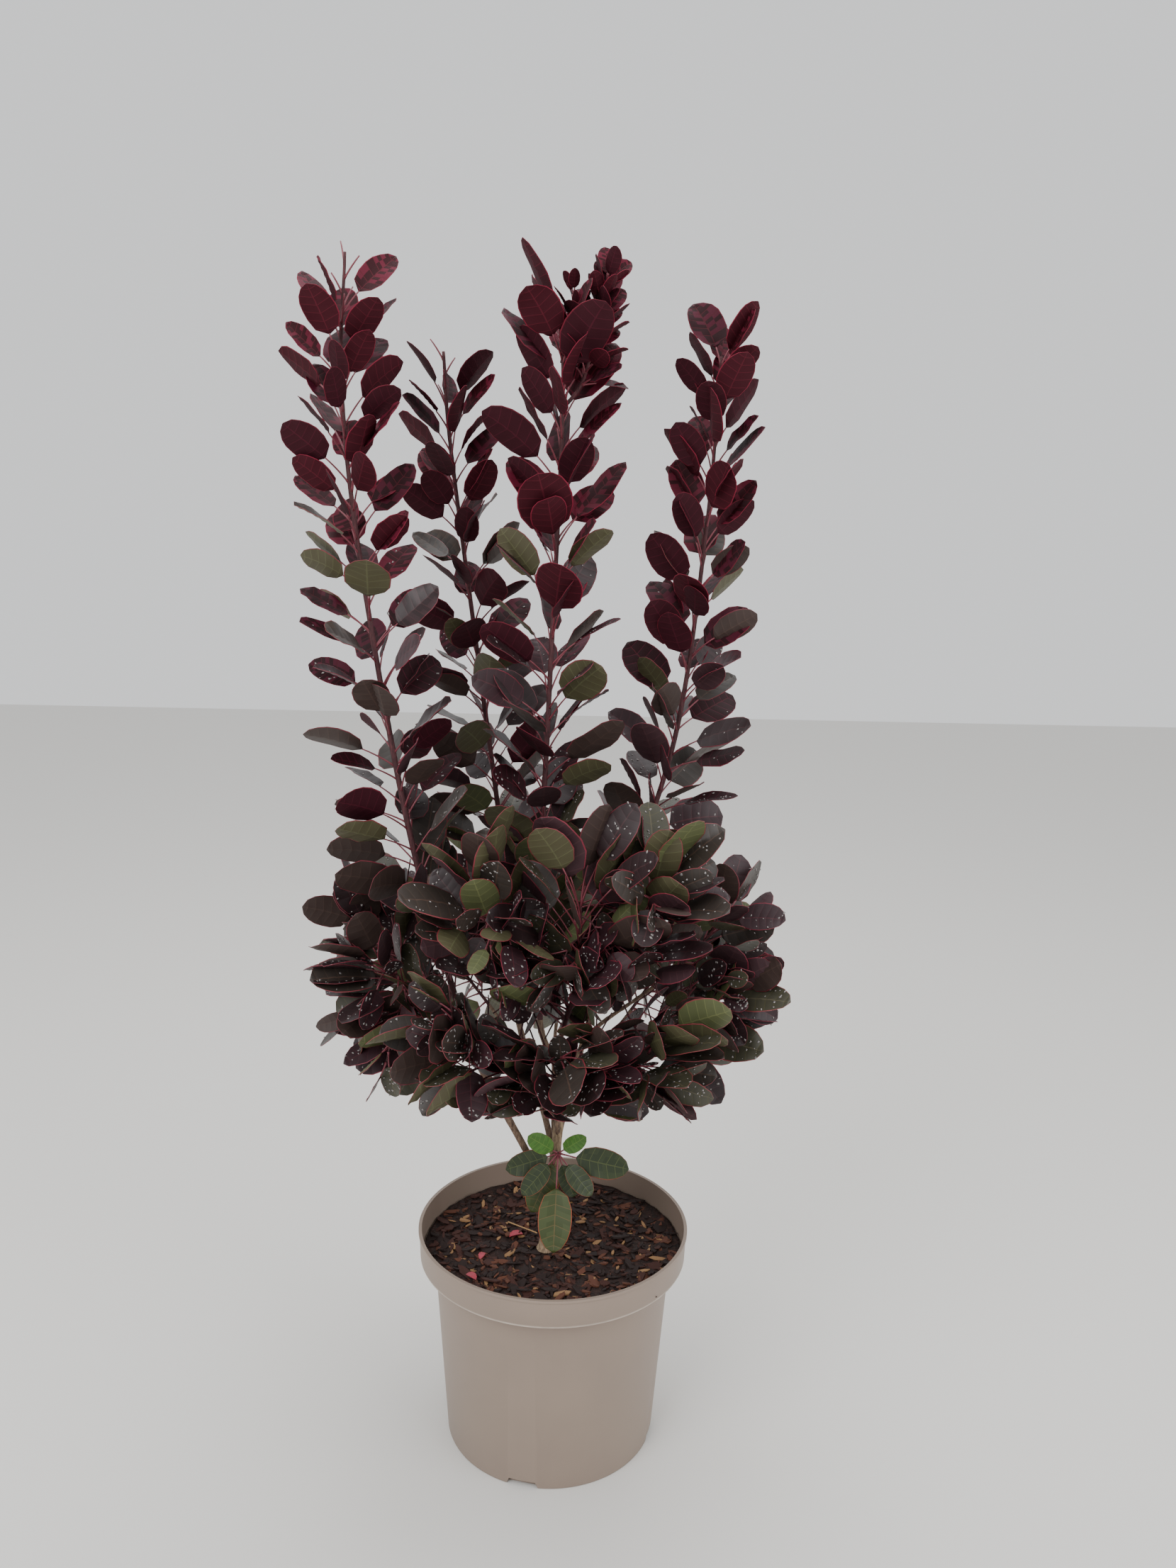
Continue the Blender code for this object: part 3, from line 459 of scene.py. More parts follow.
def trunk_path():
    """The trunk's stations and radii, from the flare at soil level to the fork."""
    foot, top = np.array(TRUNK_FOOT), np.array(TRUNK_TOP)
    rest = np.linspace(FLARE_HEIGHT, np.linalg.norm(top - foot), TRUNK_STATIONS - 2)[1:]
    runs = np.array([0, FLARE_HEIGHT * FLARE_MIDDLE_SHARE, FLARE_HEIGHT] + list(rest))
    points = foot + np.outer(runs, unit(top - foot))
    radii = TRUNK_FOOT_RADIUS + (TRUNK_TOP_RADIUS - TRUNK_FOOT_RADIUS) * runs / runs[-1]
    radii[0], radii[1] = FLARE_RADIUS, TRUNK_FOOT_RADIUS * FLARE_MIDDLE_SWELL
    points[:, 2] = np.maximum(points[:, 2], foot[2])
    return points, radii


def trunk_relief(run, turn):
    """What ridges and flakes add to the trunk's radius."""
    return sum(high * noise((math.cos(turn) * close, math.sin(turn) * close, run * often))
               for high, close, often in TRUNK_RELIEF)


def tube(verts, faces, path, tube_radii, sides, relief_at):
    """Add a closed tube along a path; relief_at(run, turn) is what the bark adds to its radius."""
    first = len(verts)
    tangents = np.gradient(path, axis=0)
    side = None
    run = 0.0
    for index, (point, tangent) in enumerate(zip(path, tangents)):
        tangent = unit(tangent)
        guide = side if side is not None else np.array([0.0, -1.0, 0.0])
        side = unit(guide - tangent * guide.dot(tangent))
        other = np.cross(tangent, side)
        run += np.linalg.norm(path[index] - path[index - 1]) if index else 0.0
        for k in range(sides):
            turn = 2 * math.pi * k / sides
            radius = tube_radii[index] + relief_at(run, turn)
            verts.append(tuple(point + (side * math.cos(turn) + other * math.sin(turn)) * radius))
    rings = len(path)
    for ring in range(rings - 1):
        low = first + ring * sides
        faces += [(low + k, low + (k + 1) % sides, low + sides + (k + 1) % sides, low + sides + k)
                  for k in range(sides)]
    faces.append(tuple(range(first + sides - 1, first - 1, -1)))
    faces.append(tuple(range(first + (rings - 1) * sides, first + rings * sides)))


def bark_material(name, dark, light, flake_mm, depth):
    """Bark: lengthwise flakes in two tones with dark cracks between them, quite matt."""
    material, tree, shader = new_material(name)
    place = node(tree, "ShaderNodeTexCoord").outputs["Object"]
    along = node(tree, "ShaderNodeMapping", values={"Scale": (1.0, 1.0, FLAKE_STRETCH)},
                 links={"Vector": place})
    flakes = node(tree, "ShaderNodeTexNoise",
                  values={"Scale": per_metre(flake_mm), "Detail": 7.0, "Roughness": 0.7},
                  links={"Vector": along.outputs["Vector"]})
    spread = node(tree, "ShaderNodeMapRange", values={"From Min": 0.34, "From Max": 0.66},
                  links={"Value": flakes.outputs["Fac"]})
    color = node(tree, "ShaderNodeMix", {"data_type": "RGBA"}, {6: linear(dark), 7: linear(light)},
                 {0: spread.outputs[0]})
    tree.links.new(color.outputs[2], shader.inputs["Base Color"])
    shader.inputs["Roughness"].default_value = 0.78
    relief = node(tree, "ShaderNodeBump", values={"Strength": 0.8, "Distance": depth},
                  links={"Height": flakes.outputs["Fac"]})
    tree.links.new(relief.outputs[0], shader.inputs["Normal"])
    return material


def finish_piece(name, verts, faces, material, replaced, slot):
    """Make a smooth-shaded piece that rides on the plant and stands for its CAD nodes."""
    mesh = bpy.data.meshes.new(name)
    mesh.from_pydata(verts, [], faces)
    outward(mesh)
    mesh.polygons.foreach_set("use_smooth", [True] * len(mesh.polygons))
    mesh.materials.append(material)
    piece = add_piece(name, mesh)
    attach(piece, "root")
    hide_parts(*replaced)


paths, radii = {}, {}
paths["trunk"], radii["trunk"] = trunk_path()
stations, marks = range(TRUNK_STATIONS), np.linspace(0, TRUNK_STATIONS - 1, TRUNK_RINGS)
trunk_fine = np.column_stack([np.interp(marks, stations, paths["trunk"][:, k]) for k in range(3)])
verts, faces = [], []
tube(verts, faces, trunk_fine, np.interp(marks, stations, radii["trunk"]), TRUNK_SIDES, trunk_relief)
# The trunk's bark is the oldest: tan and grey, with flakes about 2.4 mm wide that stand off.
old_bark = bark_material("tan_grey_flaky_bark", "4b3a2c", "b39a7c", 2.381, 0.0009)
finish_piece("trunk_bark", verts, faces, old_bark, ["trunk"], "trunk_bark")


# Boughs: thirteen woody limbs, each grown out of the trunk or of another bough with a swollen
# collar. They arch outwards and end where their own leafy stems begin.
SEAT, FORK_FOLLOW, STEM_OVERLAP = 0.0003, 0.35, 0.002
LIMB_STATIONS, LIMB_STUB, AXIS_STEP, SPLINE_STEPS = 5, 0.003, 0.010, 24
BOUGH_RINGS, BOUGH_SIDES = 34, 12
BOUGH_COLLAR_SWELL, BOUGH_COLLAR_RUN = 0.35, 0.006
BOUGH_SWELL, SWELLS_ROUND, SWELLS_PER_METRE = 0.00022, 2, 90
BUD_SWELL, BUD_SPACING, BUD_SHARPNESS = 0.00035, 0.021, 12
# A shoot is one bough and the stems that it bears: the limb that it forks from, how far along
# that limb, its radius at the fork, and its stems. A stem has its path, its radii, its number of
# leaves, the share of it that is bare below them and how many at its tip are bare stubs; then, at
# its foot and at its tip, the blades' length, the stalks' length and their lean in degrees; and
# last the side in degrees that its first leaf faces.
Stem = namedtuple("Stem", "path radius leaves first stubs blade petiole lean phase")
Shoot = namedtuple("Shoot", "name parent fork bough_radius stems")
SHOOTS = (
    Shoot("tall_left", "trunk", 0.42, 0.0040, (
        Stem(((-0.100, -0.020, 0.480), (-0.150, -0.030, 0.675), (-0.195, -0.030, 0.936),
              (-0.211, -0.032, 1.100), (-0.206, -0.032, 1.219)),
             (0.0034, 0.0012), 56, 0.03, 5, (0.060, 0.048), (0.036, 0.027), (68, 36), 200),)),
    Shoot("tall_back_left", "trunk", 0.66, 0.0036, (
        Stem(((-0.052, 0.062, 0.500), (-0.064, 0.083, 0.640), (-0.090, 0.088, 0.830),
              (-0.121, 0.086, 1.060), (-0.128, 0.084, 1.152)),
             (0.0031, 0.0016), 47, 0.04, 4, (0.060, 0.047), (0.034, 0.025), (66, 38), 70),)),
    Shoot("tall_centre", "trunk", 1.0, 0.0036, (
        Stem(((-0.018, 0.000, 0.470), (-0.020, -0.008, 0.602), (-0.014, -0.012, 0.800),
              (-0.005, -0.012, 1.080), (-0.009, -0.012, 1.170)),
             (0.0033, 0.0014), 46, 0.06, 2, (0.058, 0.064), (0.034, 0.030), (66, 36), 160),
        Stem(((-0.005, -0.012, 1.088), (0.013, -0.014, 1.112), (0.024, -0.016, 1.155),
              (0.034, -0.018, 1.203)),
             (0.0019, 0.0009), 18, 0.22, 0, (0.034, 0.025), (0.014, 0.008), (58, 30), 40),
        Stem(((-0.007, -0.012, 1.130), (0.000, -0.006, 1.160), (0.004, -0.004, 1.192)),
             (0.0013, 0.0008), 7, 0.30, 0, (0.026, 0.019), (0.014, 0.008), (62, 34), 250),)),
    Shoot("tall_right", "trunk", 0.76, 0.0036, (
        Stem(((0.045, 0.030, 0.500), (0.068, 0.040, 0.592), (0.119, 0.045, 0.770),
              (0.143, 0.045, 0.985), (0.151, 0.045, 1.148)),
             (0.0032, 0.0012), 49, 0.03, 0, (0.062, 0.050), (0.036, 0.022), (66, 34), 95),)),
    Shoot("front", "trunk", 0.90, 0.0030, (
        Stem(((0.006, -0.082, 0.490), (0.016, -0.098, 0.535), (0.021, -0.103, 0.590),
              (0.021, -0.103, 0.626)),
             (0.0024, 0.0012), 20, 0.04, 0, (0.070, 0.064), (0.046, 0.046), (100, 26), 10),
        Stem(((0.010, -0.088, 0.504), (-0.034, -0.100, 0.554), (-0.062, -0.104, 0.600),
              (-0.074, -0.104, 0.642)),
             (0.0018, 0.0010), 18, 0.30, 0, (0.066, 0.060), (0.038, 0.034), (96, 34), 120),
        Stem(((0.014, -0.094, 0.522), (0.056, -0.096, 0.568), (0.080, -0.097, 0.606),
              (0.090, -0.097, 0.640)),
             (0.0017, 0.0010), 16, 0.32, 0, (0.064, 0.058), (0.036, 0.032), (96, 36), 200),)),
    Shoot("low_left", "bough_tall_left", 0.55, 0.0024, (
        Stem(((-0.120, 0.022, 0.468), (-0.158, 0.030, 0.510), (-0.198, 0.030, 0.560)),
             (0.0019, 0.0010), 20, 0.05, 0, (0.062, 0.054), (0.032, 0.028), (96, 36), 0),)),
    Shoot("mid_left", "bough_tall_left", 0.42, 0.0024, (
        Stem(((-0.104, -0.046, 0.475), (-0.140, -0.058, 0.512), (-0.172, -0.064, 0.548)),
             (0.0018, 0.0010), 17, 0.04, 0, (0.064, 0.056), (0.032, 0.028), (98, 38), 40),)),
    Shoot("low_front", "trunk", 0.80, 0.0026, (
        Stem(((0.002, -0.052, 0.418), (0.004, -0.088, 0.440), (0.005, -0.116, 0.460),
              (0.005, -0.136, 0.486)),
             (0.0022, 0.0011), 18, 0.16, 0, (0.068, 0.062), (0.034, 0.032), (96, 60), 340),
        Stem(((0.003, -0.070, 0.429), (-0.044, -0.096, 0.452), (-0.078, -0.110, 0.474),
              (-0.100, -0.116, 0.508)),
             (0.0018, 0.0010), 19, 0.24, 0, (0.068, 0.060), (0.032, 0.030), (98, 48), 300),
        Stem(((0.004, -0.080, 0.435), (0.044, -0.096, 0.448), (0.074, -0.108, 0.468),
              (0.092, -0.114, 0.500)),
             (0.0018, 0.0010), 18, 0.26, 0, (0.066, 0.060), (0.034, 0.030), (98, 52), 60),)),
    Shoot("low_right", "bough_tall_right", 0.30, 0.0024, (
        Stem(((0.096, -0.044, 0.464), (0.126, -0.056, 0.492), (0.152, -0.058, 0.520)),
             (0.0018, 0.0010), 18, 0.04, 0, (0.062, 0.056), (0.032, 0.030), (98, 44), 210),)),
    Shoot("mid_right", "bough_tall_right", 0.60, 0.0024, (
        Stem(((0.104, 0.010, 0.506), (0.138, 0.004, 0.540), (0.170, 0.000, 0.582)),
             (0.0018, 0.0010), 17, 0.04, 0, (0.060, 0.052), (0.032, 0.026), (94, 36), 150),)),
    Shoot("low_back_left", "bough_tall_back_left", 0.45, 0.0024, (
        Stem(((-0.078, 0.092, 0.450), (-0.112, 0.118, 0.485), (-0.138, 0.132, 0.530)),
             (0.0018, 0.0010), 18, 0.04, 0, (0.064, 0.056), (0.034, 0.030), (98, 40), 30),)),
    Shoot("low_back", "trunk", 0.56, 0.0026, (
        Stem(((0.000, 0.085, 0.440), (0.006, 0.122, 0.480), (0.012, 0.142, 0.535)),
             (0.0018, 0.0010), 18, 0.04, 0, (0.064, 0.056), (0.034, 0.030), (98, 40), 80),)),
    Shoot("low_back_right", "bough_tall_right", 0.42, 0.0024, (
        Stem(((0.082, 0.078, 0.450), (0.114, 0.102, 0.490), (0.136, 0.114, 0.542)),
             (0.0018, 0.0010), 18, 0.04, 0, (0.064, 0.056), (0.034, 0.030), (98, 40), 270),)),
)


def smooth_path(controls, step):
    """Points at even distances along a smooth curve through the controls."""
    knots = np.array(controls)
    ends = np.vstack([2 * knots[0] - knots[1], knots, 2 * knots[-1] - knots[-2]])
    fine = []
    for a, b, c, d in zip(ends, ends[1:], ends[2:], ends[3:]):
        for t in np.linspace(0, 1, SPLINE_STEPS, endpoint=False):
            fine.append(0.5 * (2 * b + (c - a) * t + (2 * a - 5 * b + 4 * c - d) * t ** 2
                               + (3 * b - a - 3 * c + d) * t ** 3))
    fine = np.array(fine + [knots[-1]])
    run = np.concatenate([[0], np.cumsum(np.linalg.norm(np.diff(fine, axis=0), axis=1))])
    places = np.linspace(0, run[-1], max(2, round(run[-1] / step) + 1))
    return np.column_stack([np.interp(places, run, fine[:, k]) for k in range(3)])


def arched_path(start, out, end, arrive, count):
    """A limb that leaves start along out and comes in to end along arrive, straight at both ends."""
    reach = np.linalg.norm(end - start) / 3
    a, d = start + out * LIMB_STUB, end - arrive * LIMB_STUB
    b, c = a + out * reach, d - arrive * reach
    t = np.linspace(0, 1, count)[:, None]
    arch = (1 - t) ** 3 * a + 3 * t * (1 - t) ** 2 * b + 3 * t ** 2 * (1 - t) * c + t ** 3 * d
    return np.vstack([start, arch, end])


def point_on(path, fraction):
    """The point at a fraction of the path's length, and the direction there."""
    place = fraction * (len(path) - 1)
    index = min(int(place), len(path) - 2)
    point = path[index] + (path[index + 1] - path[index]) * (place - index)
    return point, unit(path[index + 1] - path[index])


def bough_relief(offset):
    """What soft swellings and buds add to a bough's radius; the offset makes each bough differ."""
    def relief_at(run, turn):
        round_it = (math.cos(turn) * SWELLS_ROUND, math.sin(turn) * SWELLS_ROUND)
        bud = max(0.0, math.cos((run + offset) * 2 * math.pi / BUD_SPACING)) ** BUD_SHARPNESS
        return BOUGH_SWELL * noise((*round_it, offset + run * SWELLS_PER_METRE)) + BUD_SWELL * bud
    return relief_at


verts, faces = [], []
rng = random.Random("bough buds")
for shoot in SHOOTS:
    stem_path = smooth_path(shoot.stems[0].path, AXIS_STEP)
    stem_radius = shoot.stems[0].radius[0]
    start, parent_way = point_on(paths[shoot.parent], shoot.fork)
    if shoot.fork == 1.0:
        start = start + parent_way * SEAT
    arrive = unit(stem_path[1] - stem_path[0])
    end = stem_path[0] - arrive * SEAT
    out = parent_way if shoot.fork == 1.0 else unit(unit(end - start) + parent_way * FORK_FOLLOW)
    path = arched_path(start, out, end, arrive, LIMB_STATIONS)
    paths["bough_" + shoot.name] = path
    radii["bough_" + shoot.name] = np.linspace(shoot.bough_radius, stem_radius, len(path))
    arch = arched_path(start, out, stem_path[0] + arrive * STEM_OVERLAP, arrive, BOUGH_RINGS)
    shares = np.linspace(0, 1, len(arch))
    length = np.linalg.norm(np.diff(arch, axis=0), axis=1).sum()
    arch_radii = shoot.bough_radius + (stem_radius - shoot.bough_radius) * shares
    arch_radii *= 1 + BOUGH_COLLAR_SWELL * np.exp(-shares * length / BOUGH_COLLAR_RUN)
    tube(verts, faces, arch, arch_radii, BOUGH_SIDES, bough_relief(rng.uniform(0, 50)))
# The boughs' bark is younger: grey-brown and smoother, with flakes about 1.9 mm wide.
young_bark = bark_material("grey_brown_bough_bark", "3f2c24", "8d7460", 1.923, 0.0005)
bough_nodes = ["bough_" + shoot.name for shoot in SHOOTS]
finish_piece("bough_bark", verts, faces, young_bark, bough_nodes, "bough_bark")


# Leaves: thin oval blades on thin stalks, grown from the stems in a golden-angle spiral. They are
# placed as the solids' leaves are: each is turned or raised until it keeps to its own mass's
# space, clear of limbs and other leaves and above the skirt's lower edge, or it is skipped.
SEED = "smoke bush"
GOLDEN_ANGLE, AZIMUTH_SCATTER, LEAN_SCATTER = 137.5, 13, 8
SIZE_SCATTER, STALK_SCATTER, BREADTH = (0.84, 1.16), (0.85, 1.2), (0.62, 0.84)
BEND, ROLL_EITHER_WAY = (-4, 22), (10, 62)
LAST_LEAF_SHARE, STALK_SAG, SPINE_STEPS = 0.985, 0.22, 24
CELL_GAP, LIMB_GAP, LEAF_GAP = 0.004, 0.004, 0.11
SKIRT_HEIGHT, SKIRT_SLOPE = 0.352, 0.47
# What is tried in turn until a leaf fits: degrees round its stem, and a share of its lean.
TURNS = ((0, 1.0), (24, 0.9), (-24, 0.9), (48, 0.8), (-48, 0.8), (0, 0.6), (76, 0.8), (-76, 0.8),
         (104, 0.9), (-104, 0.9), (132, 1.0), (-132, 1.0), (60, 0.5), (-60, 0.5), (120, 0.55), (-120, 0.55))
# Where a blade is tested, as shares of its length, with half its breadth there.
TEST_STATIONS = ((0.0, 0.05), (0.2, 0.36), (0.4, 0.5), (0.6, 0.5), (0.8, 0.38), (1.0, 0.0))
Leaf = namedtuple("Leaf", "root along away petiole blade width lean bend roll")
# A mass's room: points on its own stems, on the others' and on the limbs, and leaves so far.
Room = namedtuple("Room", "own others limbs limb_radii placed")


def blend(pair, fraction):
    return pair[0] + (pair[1] - pair[0]) * fraction


def away_from(along, azimuth):
    """A direction square to along, at an azimuth counted from the front view's side."""
    front = np.array([0.0, -1.0, 0.0])
    first = unit(front - along * front.dot(along))
    second = np.cross(along, first)
    return first * math.cos(azimuth) + second * math.sin(azimuth)


def spine_of(leaf):
    """Points from the petiole's root to the blade's tip, with the side and the upper normal."""
    side = np.cross(leaf.along, leaf.away)
    places, frames = [leaf.root], []
    length = leaf.petiole + leaf.blade
    for index in range(SPINE_STEPS + 1):
        run = index / SPINE_STEPS * length
        on_blade = max(0.0, run - leaf.petiole) / leaf.blade
        angle = leaf.lean - STALK_SAG * max(0.0, 1 - run / leaf.petiole) + leaf.bend * on_blade
        ahead = math.cos(angle) * leaf.along + math.sin(angle) * leaf.away
        upper = math.sin(angle) * leaf.along - math.cos(angle) * leaf.away
        roll = leaf.roll * min(1.0, run / leaf.petiole)
        across = side * math.cos(roll) + upper * math.sin(roll)
        frames.append((across, np.cross(ahead, across)))
        if index < SPINE_STEPS:
            places.append(places[-1] + ahead * length / SPINE_STEPS)
    return np.array(places), frames


def leaf_place(leaf, places, frames, on_blade):
    """The spine's point and frame at a fraction of the blade, below 0 on the petiole."""
    run = leaf.petiole + on_blade * leaf.blade
    place = min(1.0, max(0.0, run / (leaf.petiole + leaf.blade))) * SPINE_STEPS
    index = min(int(place), SPINE_STEPS - 1)
    point = places[index] + (places[index + 1] - places[index]) * (place - index)
    across, normal = frames[min(round(place), SPINE_STEPS)]
    return point, across, normal


def drawn_leaf(rng, stem, path, index):
    """The leaf at one node of a stem, before it is fitted into the mass's own space."""
    share = index / max(1, stem.leaves - 1)
    root, along = point_on(path, stem.first + (LAST_LEAF_SHARE - stem.first) * share)
    azimuth = stem.phase + GOLDEN_ANGLE * index + rng.uniform(-AZIMUTH_SCATTER, AZIMUTH_SCATTER)
    lean = blend(stem.lean, share) + rng.uniform(-LEAN_SCATTER, LEAN_SCATTER)
    blade = blend(stem.blade, share) * rng.uniform(*SIZE_SCATTER)
    petiole = blend(stem.petiole, share) * rng.uniform(*STALK_SCATTER)
    width = blade * rng.uniform(*BREADTH)
    bend = math.radians(rng.uniform(*BEND))
    roll = math.radians(rng.choice((-1, 1)) * rng.uniform(*ROLL_EITHER_WAY))
    return azimuth, lean, Leaf(root, along, None, petiole, blade, width, None, bend, roll)


def blade_points(leaf):
    """Points along the middle and both edges of a blade."""
    places, frames = spine_of(leaf)
    points = []
    for station, half in TEST_STATIONS:
        point, across, _ = leaf_place(leaf, places, frames, station)
        points += [point, point + across * half * leaf.width, point - across * half * leaf.width]
    return np.array(points)


def distances(points, targets):
    return np.linalg.norm(points[:, None] - targets[None], axis=2)


def keeps_clear(points, room):
    """Whether a blade keeps nearest its own stems, off the limbs and above the skirt's lower edge."""
    skirt = SKIRT_HEIGHT + SKIRT_SLOPE * np.maximum(0, -points[:, 1])
    if (points[:, 2] < skirt).any():
        return False
    own, others = distances(points, room.own).min(axis=1), distances(points, room.others).min(axis=1)
    if (own + CELL_GAP > others).any():
        return False
    return (distances(points, room.limbs) - room.limb_radii).min() > LIMB_GAP


def fitted_leaves(shoot_name, stem, number, room, gap, reach=None):
    """The leaves of one stem, each turned or raised until it fits, or skipped."""
    rng = random.Random(f"{SEED} {shoot_name} {number}")
    path = smooth_path(stem.path, AXIS_STEP)
    leaves = []
    for index in range(stem.leaves):
        azimuth, lean, draft = drawn_leaf(rng, stem, path, index)
        stub = index >= stem.leaves - stem.stubs
        for turn, raised in TURNS:
            leaf = draft._replace(away=away_from(draft.along, math.radians(azimuth + turn)),
                                  lean=math.radians(lean * raised))
            points = blade_points(leaf)
            if reach is not None and ((points < reach[0]) | (points > reach[1])).any():
                continue
            placed = room.placed
            apart = not placed or distances(points, np.vstack(placed)).min() > gap * leaf.blade
            if stub or (apart and keeps_clear(points, room)):
                leaves.append((leaf, stub))
                if not stub:
                    placed.append(points)
                break
    return leaves


# A blade's form: six pairs of side veins pressed into it and swept towards its tip, panels that
# bulge between them, a midrib, and edges that are cupped, folded and waved, leaf by leaf.
VEINS, FIRST_VEIN, VEIN_SPAN, VEIN_HALF, VEIN_SWEEP = 6, 0.09, 0.80, 0.006, 0.40
COLUMNS = (-1.0, -0.955, -0.5, -0.035, 0.035, 0.5, 0.955, 1.0)
BLADE_THICKNESS, BREADTH_SHARE = 0.00045, 0.90
BLADE_FOOT_HALF, BLADE_TIP_HALF = 0.0009, 0.0006
CUP, FOLD, WAVE = (-0.08, 0.12), (0.0, 0.20), (0.004, 0.030)
WAVE_PHASE, WAVE_COUNT, WAVE_FULL_HALF = (0, 6.28), (1.2, 2.6), 0.01
VEIN_DEPTH, VEIN_FADE, DEPTH_BLADE = 0.0006, 0.7, 0.055
BLADE_ROWS = [0.0]
for vein in range(VEINS):
    middle = FIRST_VEIN + VEIN_SPAN * vein / (VEINS - 1)
    BLADE_ROWS += [middle - VEIN_HALF, middle + VEIN_HALF]
BLADE_ROWS.append(1.0)

# Living leaf: a thin waxy skin gives a soft gloss over the plum and olive; the crimson leaves at
# the tops are young and have a bloom, so they are duller, and so is every underside. A family's
# colours are for the upper side, under side, margin, vein, vein beneath and paler panel.
LEAF_COLORS = {
    "top_crimson": ("300710", "3e0d19", "7c1c32", "521522", "541624", "5c1529"),
    "top_wine": ("26070e", "360d18", "681829", "44121c", "461321", "461022"),
    # The next family is partly the leaves' own grey plum and partly painted sheen: its paler, greyer colour
    # stands in for the light that the waxy skin reflects, while its gloss is the same as the other low
    # families'.
    "plum_sheen": ("331f24", "3f282d", "7c2638", "4a262c", "4c3034", "40242a"),
    "plum_dark": ("291b1d", "3c2e2a", "6c2430", "3e2628", "463630", "342225"),
    "plum_olive": ("352e2a", "4e4a34", "7c3038", "4c3c34", "5c5c40", "40352e"),
    "olive": ("3e3c30", "575c3c", "823a3c", "56503e", "6c7048", "48452f"),
    "young_green": ("3f6a22", "64843a", "6a7430", "5e8032", "7a9446", "477428"),
    "young_olive": ("28331a", "4f5a30", "80402a", "48502a", "68703e", "303a1e"),
    "young_bronze": ("3a4420", "5a6034", "964428", "5c522e", "707242", "424c28"),
}
LEAF_GLOSS, TOP_LEAF_GLOSS, UNDERSIDE_DULLER = (0.42, 0.38), (0.6, 0.2), 0.14
LEAF_PARTS = ("upper", "under", "margin", "vein", "vein_under", "panel")
UPPER, UNDER, MARGIN, VEIN, VEIN_UNDER, PANEL = range(len(LEAF_PARTS))
# Redder with height, and more olive low down: lowest height, families, and their shares.
LEAF_ZONES = (
    (0.96, ("top_crimson", "top_wine"), (6, 5)),
    (0.82, ("top_crimson", "top_wine", "plum_dark", "plum_olive"), (3, 7, 2, 2)),
    (0.66, ("top_wine", "plum_sheen", "plum_dark", "plum_olive"), (4, 3, 4, 3)),
    (0.0, ("plum_sheen", "plum_dark", "plum_olive", "olive"), (3, 5, 5, 3)),
)
# How likely a panel in each strip across the blade is to be paler or redder, near the tops.
MOTTLED_HEIGHT, MOTTLED_SHARES = 0.80, (0.0, 0.55, 0.22, 0.0, 0.22, 0.55, 0.0)
# Dried water specks, most on the low leaves that are splashed, and none at the tops.
SPLASHED_HEIGHT, SPLASHED_SPECKS, CLEAN_HEIGHT, SOME_SPECKS = 0.70, (6, 22), 0.9, (0, 8)
SPECK_HALF, SPECK_LIFT, SPECK_SHIFT = (0.0005, 0.0017), 0.0004, 0.003
SPECK_SPIN, SPECK_SCATTER = (0, 1.5), (0.7, 1.2)
FAMILIES = list(LEAF_COLORS)
leaf_materials = []
for family, colors in LEAF_COLORS.items():
    roughness, specular = TOP_LEAF_GLOSS if family.startswith("top") else LEAF_GLOSS
    for part, color in zip(LEAF_PARTS, colors):
        duller = UNDERSIDE_DULLER if "under" in part else 0.0
        leaf_materials.append(plain_material(f"leaf_{family}_{part}", color, roughness + duller, specular))
SPECK = len(leaf_materials)
leaf_materials.append(plain_material("dried_water_specks", "a09a98", 0.8))


def half_width(t):
    """Half the blade's breadth at a fraction of its length: oval, fullest just short of the middle."""
    return 0.5 * max(0.0, 1 - abs(2 * t ** 0.92 - 1) ** 2.25) ** 0.56


def blade_rows(leaf, places, frames, rng):
    """Rows of points across a blade, each with its upper normals, and what lies between the rows."""
    cup, fold = rng.uniform(*CUP), rng.uniform(*FOLD)
    wave, phase, waves = rng.uniform(*WAVE), rng.uniform(*WAVE_PHASE), rng.uniform(*WAVE_COUNT)
    depth = VEIN_DEPTH * leaf.blade / DEPTH_BLADE
    grid = np.zeros((len(BLADE_ROWS), len(COLUMNS), 3))
    ups = np.zeros(grid.shape)
    for i, row in enumerate(BLADE_ROWS):
        at_end = i in (0, len(BLADE_ROWS) - 1)
        for j, v in enumerate(COLUMNS):
            t = min(1.0, row + VEIN_SWEEP * abs(v) * row * (1 - row))
            point, across, normal = leaf_place(leaf, places, frames, t)
            half = half_width(t) * leaf.width * BREADTH_SHARE
            if at_end:
                half = BLADE_FOOT_HALF if i == 0 else BLADE_TIP_HALF
            ripple = math.sin(phase + waves * 2 * math.pi * t) * min(1.0, half / WAVE_FULL_HALF)
            lift = (cup * v * v + fold * abs(v)) * half + wave * leaf.width * v * v * ripple
            if not at_end:
                lift -= depth * (1 - VEIN_FADE * abs(v))
            grid[i, j] = point + across * v * half + normal * lift
            ups[i, j] = normal
    bulge = depth * (1 - np.array(COLUMNS) ** 2)[:, None]
    rows, kinds = [], []
    for i in range(len(BLADE_ROWS) - 1):
        rows.append((grid[i], ups[i]))
        if i % 2 == 0:
            rows.append(((grid[i] + grid[i + 1]) / 2 + ups[i] * bulge, ups[i]))
            kinds += ["panel", "panel"]
        else:
            kinds.append("vein")
    rows.append((grid[-1], ups[-1]))
    return rows, kinds


